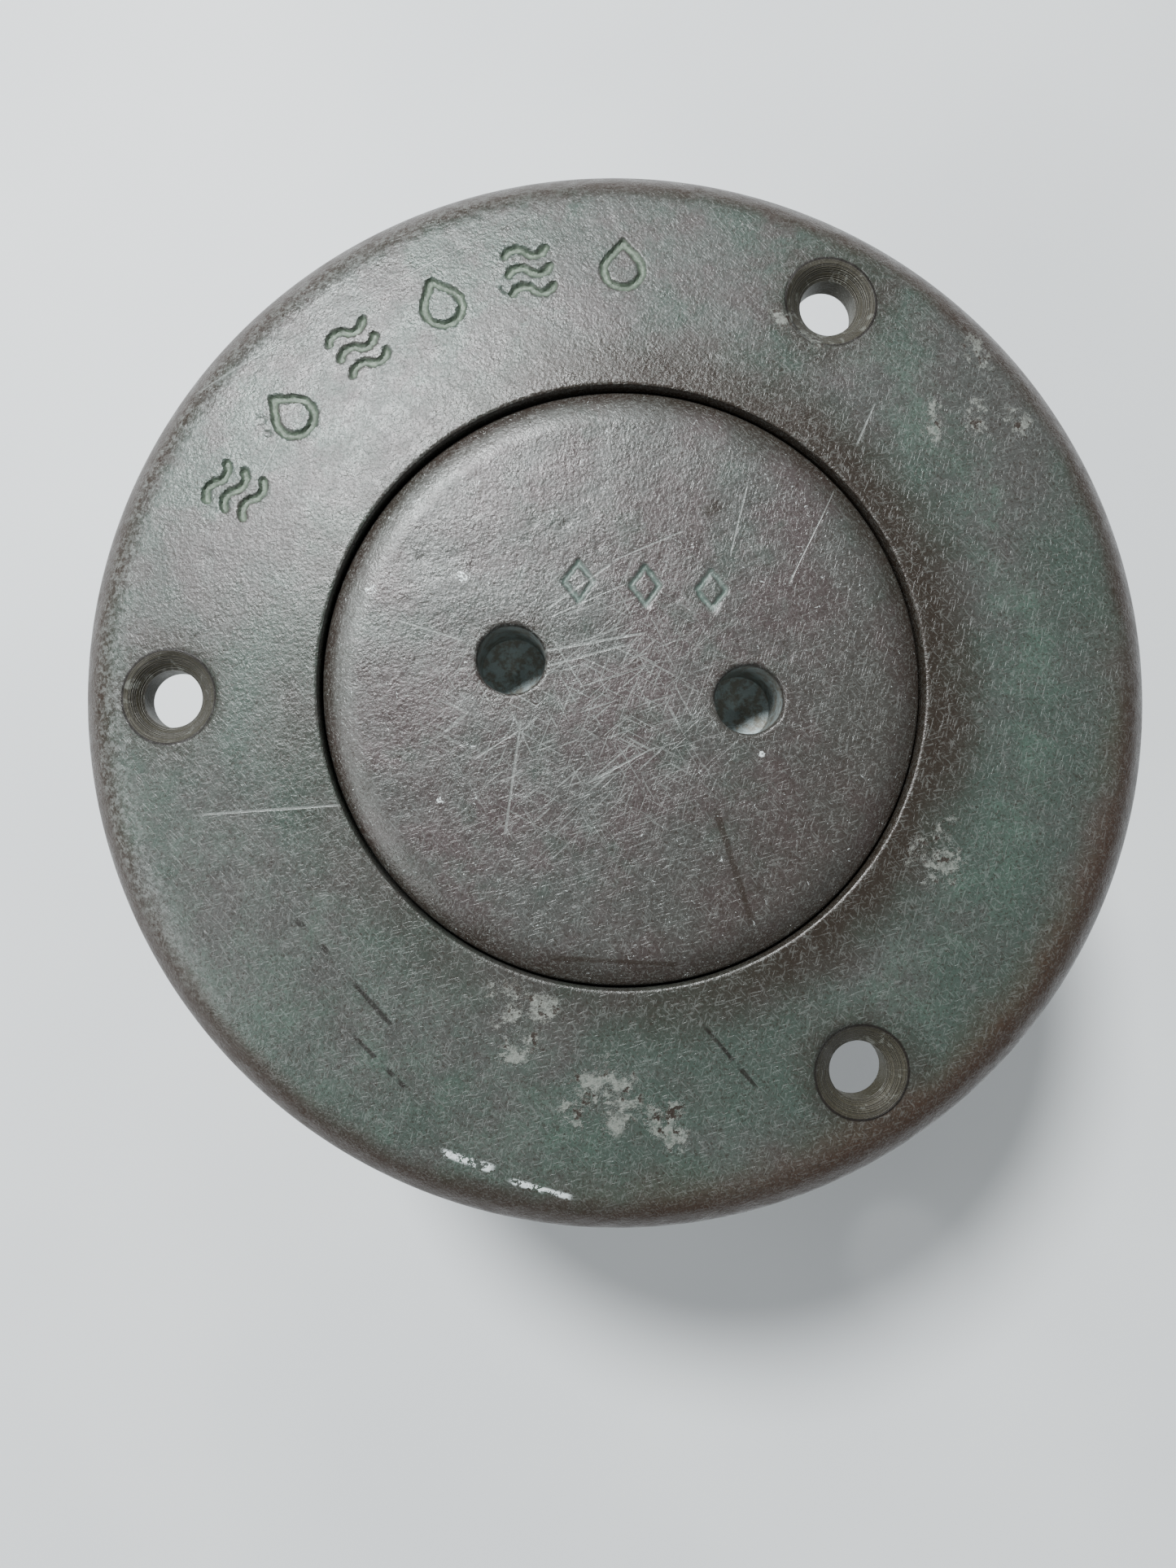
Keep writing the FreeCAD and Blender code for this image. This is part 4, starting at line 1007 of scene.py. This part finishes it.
def cap_material():
    """Cap: grey-violet brown with faint green patches, many fine scratches, and a pale band on its north-west
    shoulder that is partly wear and partly painted highlight.
    """
    graph = Graph("cap_patina")
    radius = graph.radius()
    cloud = graph.noise(11, 4, 0.6, offset=13)
    colour = graph.mix(graph.ramp(cloud, 0.38, 0.62), VIOLET, GREY)
    green = graph.ramp(graph.noise(6, 5, 0.65, offset=29), 0.52, 0.68)
    colour = graph.mix(graph.times(green, 0.5), colour, GREY_GREEN)
    wobble = graph.times(graph.add(graph.noise(5, 3, 0.6, offset=33), -0.5), 5)
    edge = graph.ramp(graph.add(radius, wobble), 27.0, 31.0)
    south_east = graph.ramp(graph.add(graph.times(graph.x, 0.8), graph.times(graph.y, -0.5)), 2, 28)
    hole = graph.nearest(spanner_centres())
    around = graph.ramp(graph.add(hole, graph.times(wobble, 0.6)), 6.4, 3.2)
    below = graph.ramp(graph.z, 3.5, 2.0)
    edge = graph.times(edge, 0.8)
    brown = graph.most(edge, graph.times(around, 0.45), graph.times(south_east, 0.5), graph.times(below, 0.7))
    colour = graph.mix(brown, colour, BROWN)
    # painted highlight: a pale band on the cap's north-west rounded shoulder, partly wear and partly painted
    # sheen where the lamps catch the edge
    north_west = graph.ramp(graph.add(graph.times(graph.x, -0.9), graph.times(graph.y, 0.4)), 4, 24)
    shoulder_wear_and_sheen = graph.times(graph.ramp(radius, 27.0, 28.4), graph.ramp(radius, 30.4, 29.4))
    colour = graph.mix(graph.times(graph.times(shoulder_wear_and_sheen, north_west), 0.24), colour, PALE)
    colour, height = speckle(graph, colour, 0.95)

    engraved = graph.attribute("recess")
    colour = graph.mix(graph.times(engraved, 0.75), colour, srgb(90, 108, 100))
    inside = graph.times(graph.ramp(hole, 3.62, 3.42), graph.ramp(graph.z, 6.5, 5.9))
    lining = graph.mix(graph.ramp(graph.noise(1.2, 4, 0.7, offset=6), 0.42, 0.6), HOLE_GREY, HOLE_DULL)
    colour = graph.mix(graph.times(inside, 0.9), colour, lining)

    fine = [graph.scratches(0.22, 26, angle, 0.665, 0.705, 3 + angle) for angle in SCRATCH_ANGLES]
    fine = graph.most(*fine)
    middle = graph.radius((-5.0, -2.0))
    fine = graph.times(fine, graph.ramp(middle, 21, 6, 0.12, 1.0))
    bold = graph.most(*[graph.line(*line) for line in CAP_SCRATCHES])
    on_top = graph.ramp(graph.z, 3.0, 3.6)
    scratch = graph.times(graph.most(fine, bold), on_top)
    colour = graph.mix(graph.times(scratch, 0.52), colour, PALE)
    nicks = graph.most(*[graph.ramp(graph.radius(centre), size, size * 0.3) for centre, size in CAP_NICKS])
    ragged = graph.noise(0.55, 4, 0.8, warp=1.0, offset=61)
    nicks = graph.ramp(graph.add(graph.times(nicks, 0.16), ragged), 0.66, 0.69)
    colour = graph.mix(graph.times(nicks, on_top), colour, PAINT)
    stains = graph.most(*[graph.line(*line) for line in CAP_STAINS])
    blots = graph.ramp(graph.noise(1.1, 5, 0.8, offset=47), 0.68, 0.72)
    colour = graph.mix(graph.times(graph.times(graph.most(stains, blots), on_top), 0.65), colour, BROWN)

    height = graph.add(height, graph.times(scratch, -0.02))
    rough = graph.ramp(graph.noise(2.0, 4, 0.6, offset=2), 0.3, 0.7, 0.23, 0.34)
    rough = graph.add(rough, graph.times(graph.most(inside, engraved), 0.2))
    return finish_patina(graph, colour, height, rough)


def chain_material():
    """Dull drawn bronze, darker in its hollows, with a little green."""
    graph = Graph("chain_bronze")
    cloud = graph.noise(2.2, 4, 0.6)
    colour = graph.mix(graph.ramp(cloud, 0.38, 0.62), srgb(118, 96, 62), srgb(92, 76, 54))
    green = graph.ramp(graph.noise(1.3, 4, 0.7, offset=7), 0.56, 0.68)
    colour = graph.mix(graph.times(green, 0.6), colour, VERDIGRIS)
    grain = graph.noise(0.25, 3, 0.7)
    colour = graph.mix(graph.ramp(grain, 0.5, 0.35, 0, 0.4), colour, DARK)
    graph.put(graph.shader.inputs["Base Color"], colour)
    graph.put(graph.shader.inputs["Roughness"], graph.ramp(cloud, 0.3, 0.7, 0.34, 0.55))
    graph.shader.inputs["Metallic"].default_value = 0.8
    graph.put(graph.shader.inputs["Normal"], graph.bump(grain, 0.4, 0.00005))
    return graph.material


def steel_material():
    """Dull stainless with turning marks and faint rust in places."""
    graph = Graph("dull_stainless")
    turns = graph.noise(0.3, 2, 0.5, graph.turned(0, (1, 0.1, 1)))
    colour = graph.mix(graph.ramp(turns, 0.4, 0.6), srgb(158, 158, 155), srgb(128, 127, 124))
    rust = graph.ramp(graph.noise(1.1, 4, 0.7, offset=4), 0.60, 0.72)
    graph.put(graph.shader.inputs["Base Color"], graph.mix(graph.times(rust, 0.5), colour, srgb(108, 78, 56)))
    graph.put(graph.shader.inputs["Roughness"], graph.ramp(turns, 0.3, 0.7, 0.28, 0.45))
    graph.shader.inputs["Metallic"].default_value = 0.95
    graph.put(graph.shader.inputs["Normal"], graph.bump(turns, 0.25, 0.00003))
    return graph.material


def rubber_material():
    """Matt black rubber with a dusty bloom."""
    graph = Graph("seal_rubber")
    dust = graph.ramp(graph.noise(1.6, 4, 0.7), 0.45, 0.7)
    colour = graph.mix(graph.times(dust, 0.5), srgb(24, 24, 24), srgb(62, 61, 58))
    graph.put(graph.shader.inputs["Base Color"], colour)
    graph.put(graph.shader.inputs["Roughness"], graph.ramp(dust, 0, 1, 0.55, 0.8))
    graph.put(graph.shader.inputs["Normal"], graph.bump(graph.noise(0.4, 3, 0.6), 0.2, 0.00004))
    return graph.material


def store_recess(item, depth, lowest):
    """Keep how deep the marks are at each vertex of the top, for the material."""
    points = np.empty(len(item.data.vertices) * 3)
    item.data.vertices.foreach_get("co", points)
    x, y, z = points.reshape(-1, 3).T / MM
    attribute = item.data.attributes.new("recess", "FLOAT", "POINT")
    values = np.clip(depth(x, y) * 4, 0, 1) * (z > lowest)
    attribute.data.foreach_set("value", values.astype(np.float32))


store_recess(flange, mark_depth, 2.5)
store_recess(cap, stamp_depth, 5.0)
materials = {
    "flange_bronze": flange_material(),
    "cap_bronze": cap_material(),
    "chain_bronze": chain_material(),
    "fastener": steel_material(),
    "seal": rubber_material(),
}
flange.data.materials.clear()
flange.data.materials.append(materials["flange_bronze"])
cap.data.materials.append(materials["cap_bronze"])
for part in frame["record"]["subparts"]:
    node = frame["nodes"][part["node"]]
    for place in node.material_slots:
        place.material = materials[part["material_slot"]]


# ---------------------------------------------------------------- floor, light and camera

# name, azimuth and elevation in degrees, distance and size in metres, power in watts
LIGHTS = [("main_light", 120, 55, 1.3, 0.26, 31), ("left_light", 158, 44, 1.3, 0.45, 3.3),
          ("top_light", 84, 38, 1.4, 0.35, 2.2), ("low_light", 208, 34, 1.3, 0.4, 5)]
CAMERA_LENS = 24.96
CAMERA_FORWARD = (0.0222, 0.0506, -0.9985)
CAMERA_UP = (-0.0011, 0.9987, 0.0506)
CAMERA_PLACE = (-6.15, -16.12, 117.0 + RIM_LAND)


def make_floor():
    """A plain pale table under the tail."""
    bpy.ops.mesh.primitive_plane_add(size=4.0, location=(0, 0, TAIL_END * MM))
    floor = bpy.context.object
    floor.name = "table"
    graph = Graph("table_paint")
    tone = graph.ramp(graph.noise(60, 2, 0.5), 0.3, 0.7)
    graph.put(graph.shader.inputs["Base Color"], graph.mix(tone, srgb(222, 225, 226), srgb(228, 231, 231)))
    graph.shader.inputs["Roughness"].default_value = 0.5
    floor.data.materials.append(graph.material)


def aim(item, target):
    item.rotation_euler = (Vector(target) - item.location).to_track_quat("-Z", "Y").to_euler()


def add_light(name, azimuth, elevation, distance, size, power):
    """An area light that looks at the fitting from a direction given in degrees."""
    data = bpy.data.lights.new(name, "AREA")
    data.shape = "DISK"
    data.size = size
    data.energy = power
    data.color = (0.95, 0.98, 1.0)
    item = bpy.data.objects.new(name, data)
    level = distance * math.cos(math.radians(elevation))
    x, y = level * math.cos(math.radians(azimuth)), level * math.sin(math.radians(azimuth))
    item.location = (x, y, distance * math.sin(math.radians(elevation)))
    aim(item, (0, 0, 0))
    bpy.context.scene.collection.objects.link(item)


def make_light():
    for light in LIGHTS:
        add_light(*light)
    world = bpy.data.worlds.new("studio")
    world.use_nodes = True
    background = world.node_tree.nodes["Background"]
    background.inputs["Color"].default_value = (0.92, 0.96, 1.0, 1.0)
    background.inputs["Strength"].default_value = 0.26
    bpy.context.scene.world = world


def make_camera():
    """A close view from above, a little low and left of the fitting's axis."""
    data = bpy.data.cameras.new("camera")
    data.sensor_fit = "AUTO"
    data.sensor_width = 36.0
    data.lens = CAMERA_LENS
    data.clip_start = 0.005
    item = bpy.data.objects.new("camera", data)
    forward = Vector(CAMERA_FORWARD).normalized()
    up = Vector(CAMERA_UP)
    right = forward.cross(up).normalized()
    up = right.cross(forward)
    turn = Matrix((right, up, -forward)).transposed().to_4x4()
    item.matrix_world = Matrix.Translation(Vector(CAMERA_PLACE) * MM) @ turn
    bpy.context.scene.collection.objects.link(item)
    bpy.context.scene.camera = item


make_floor()
make_light()
make_camera()
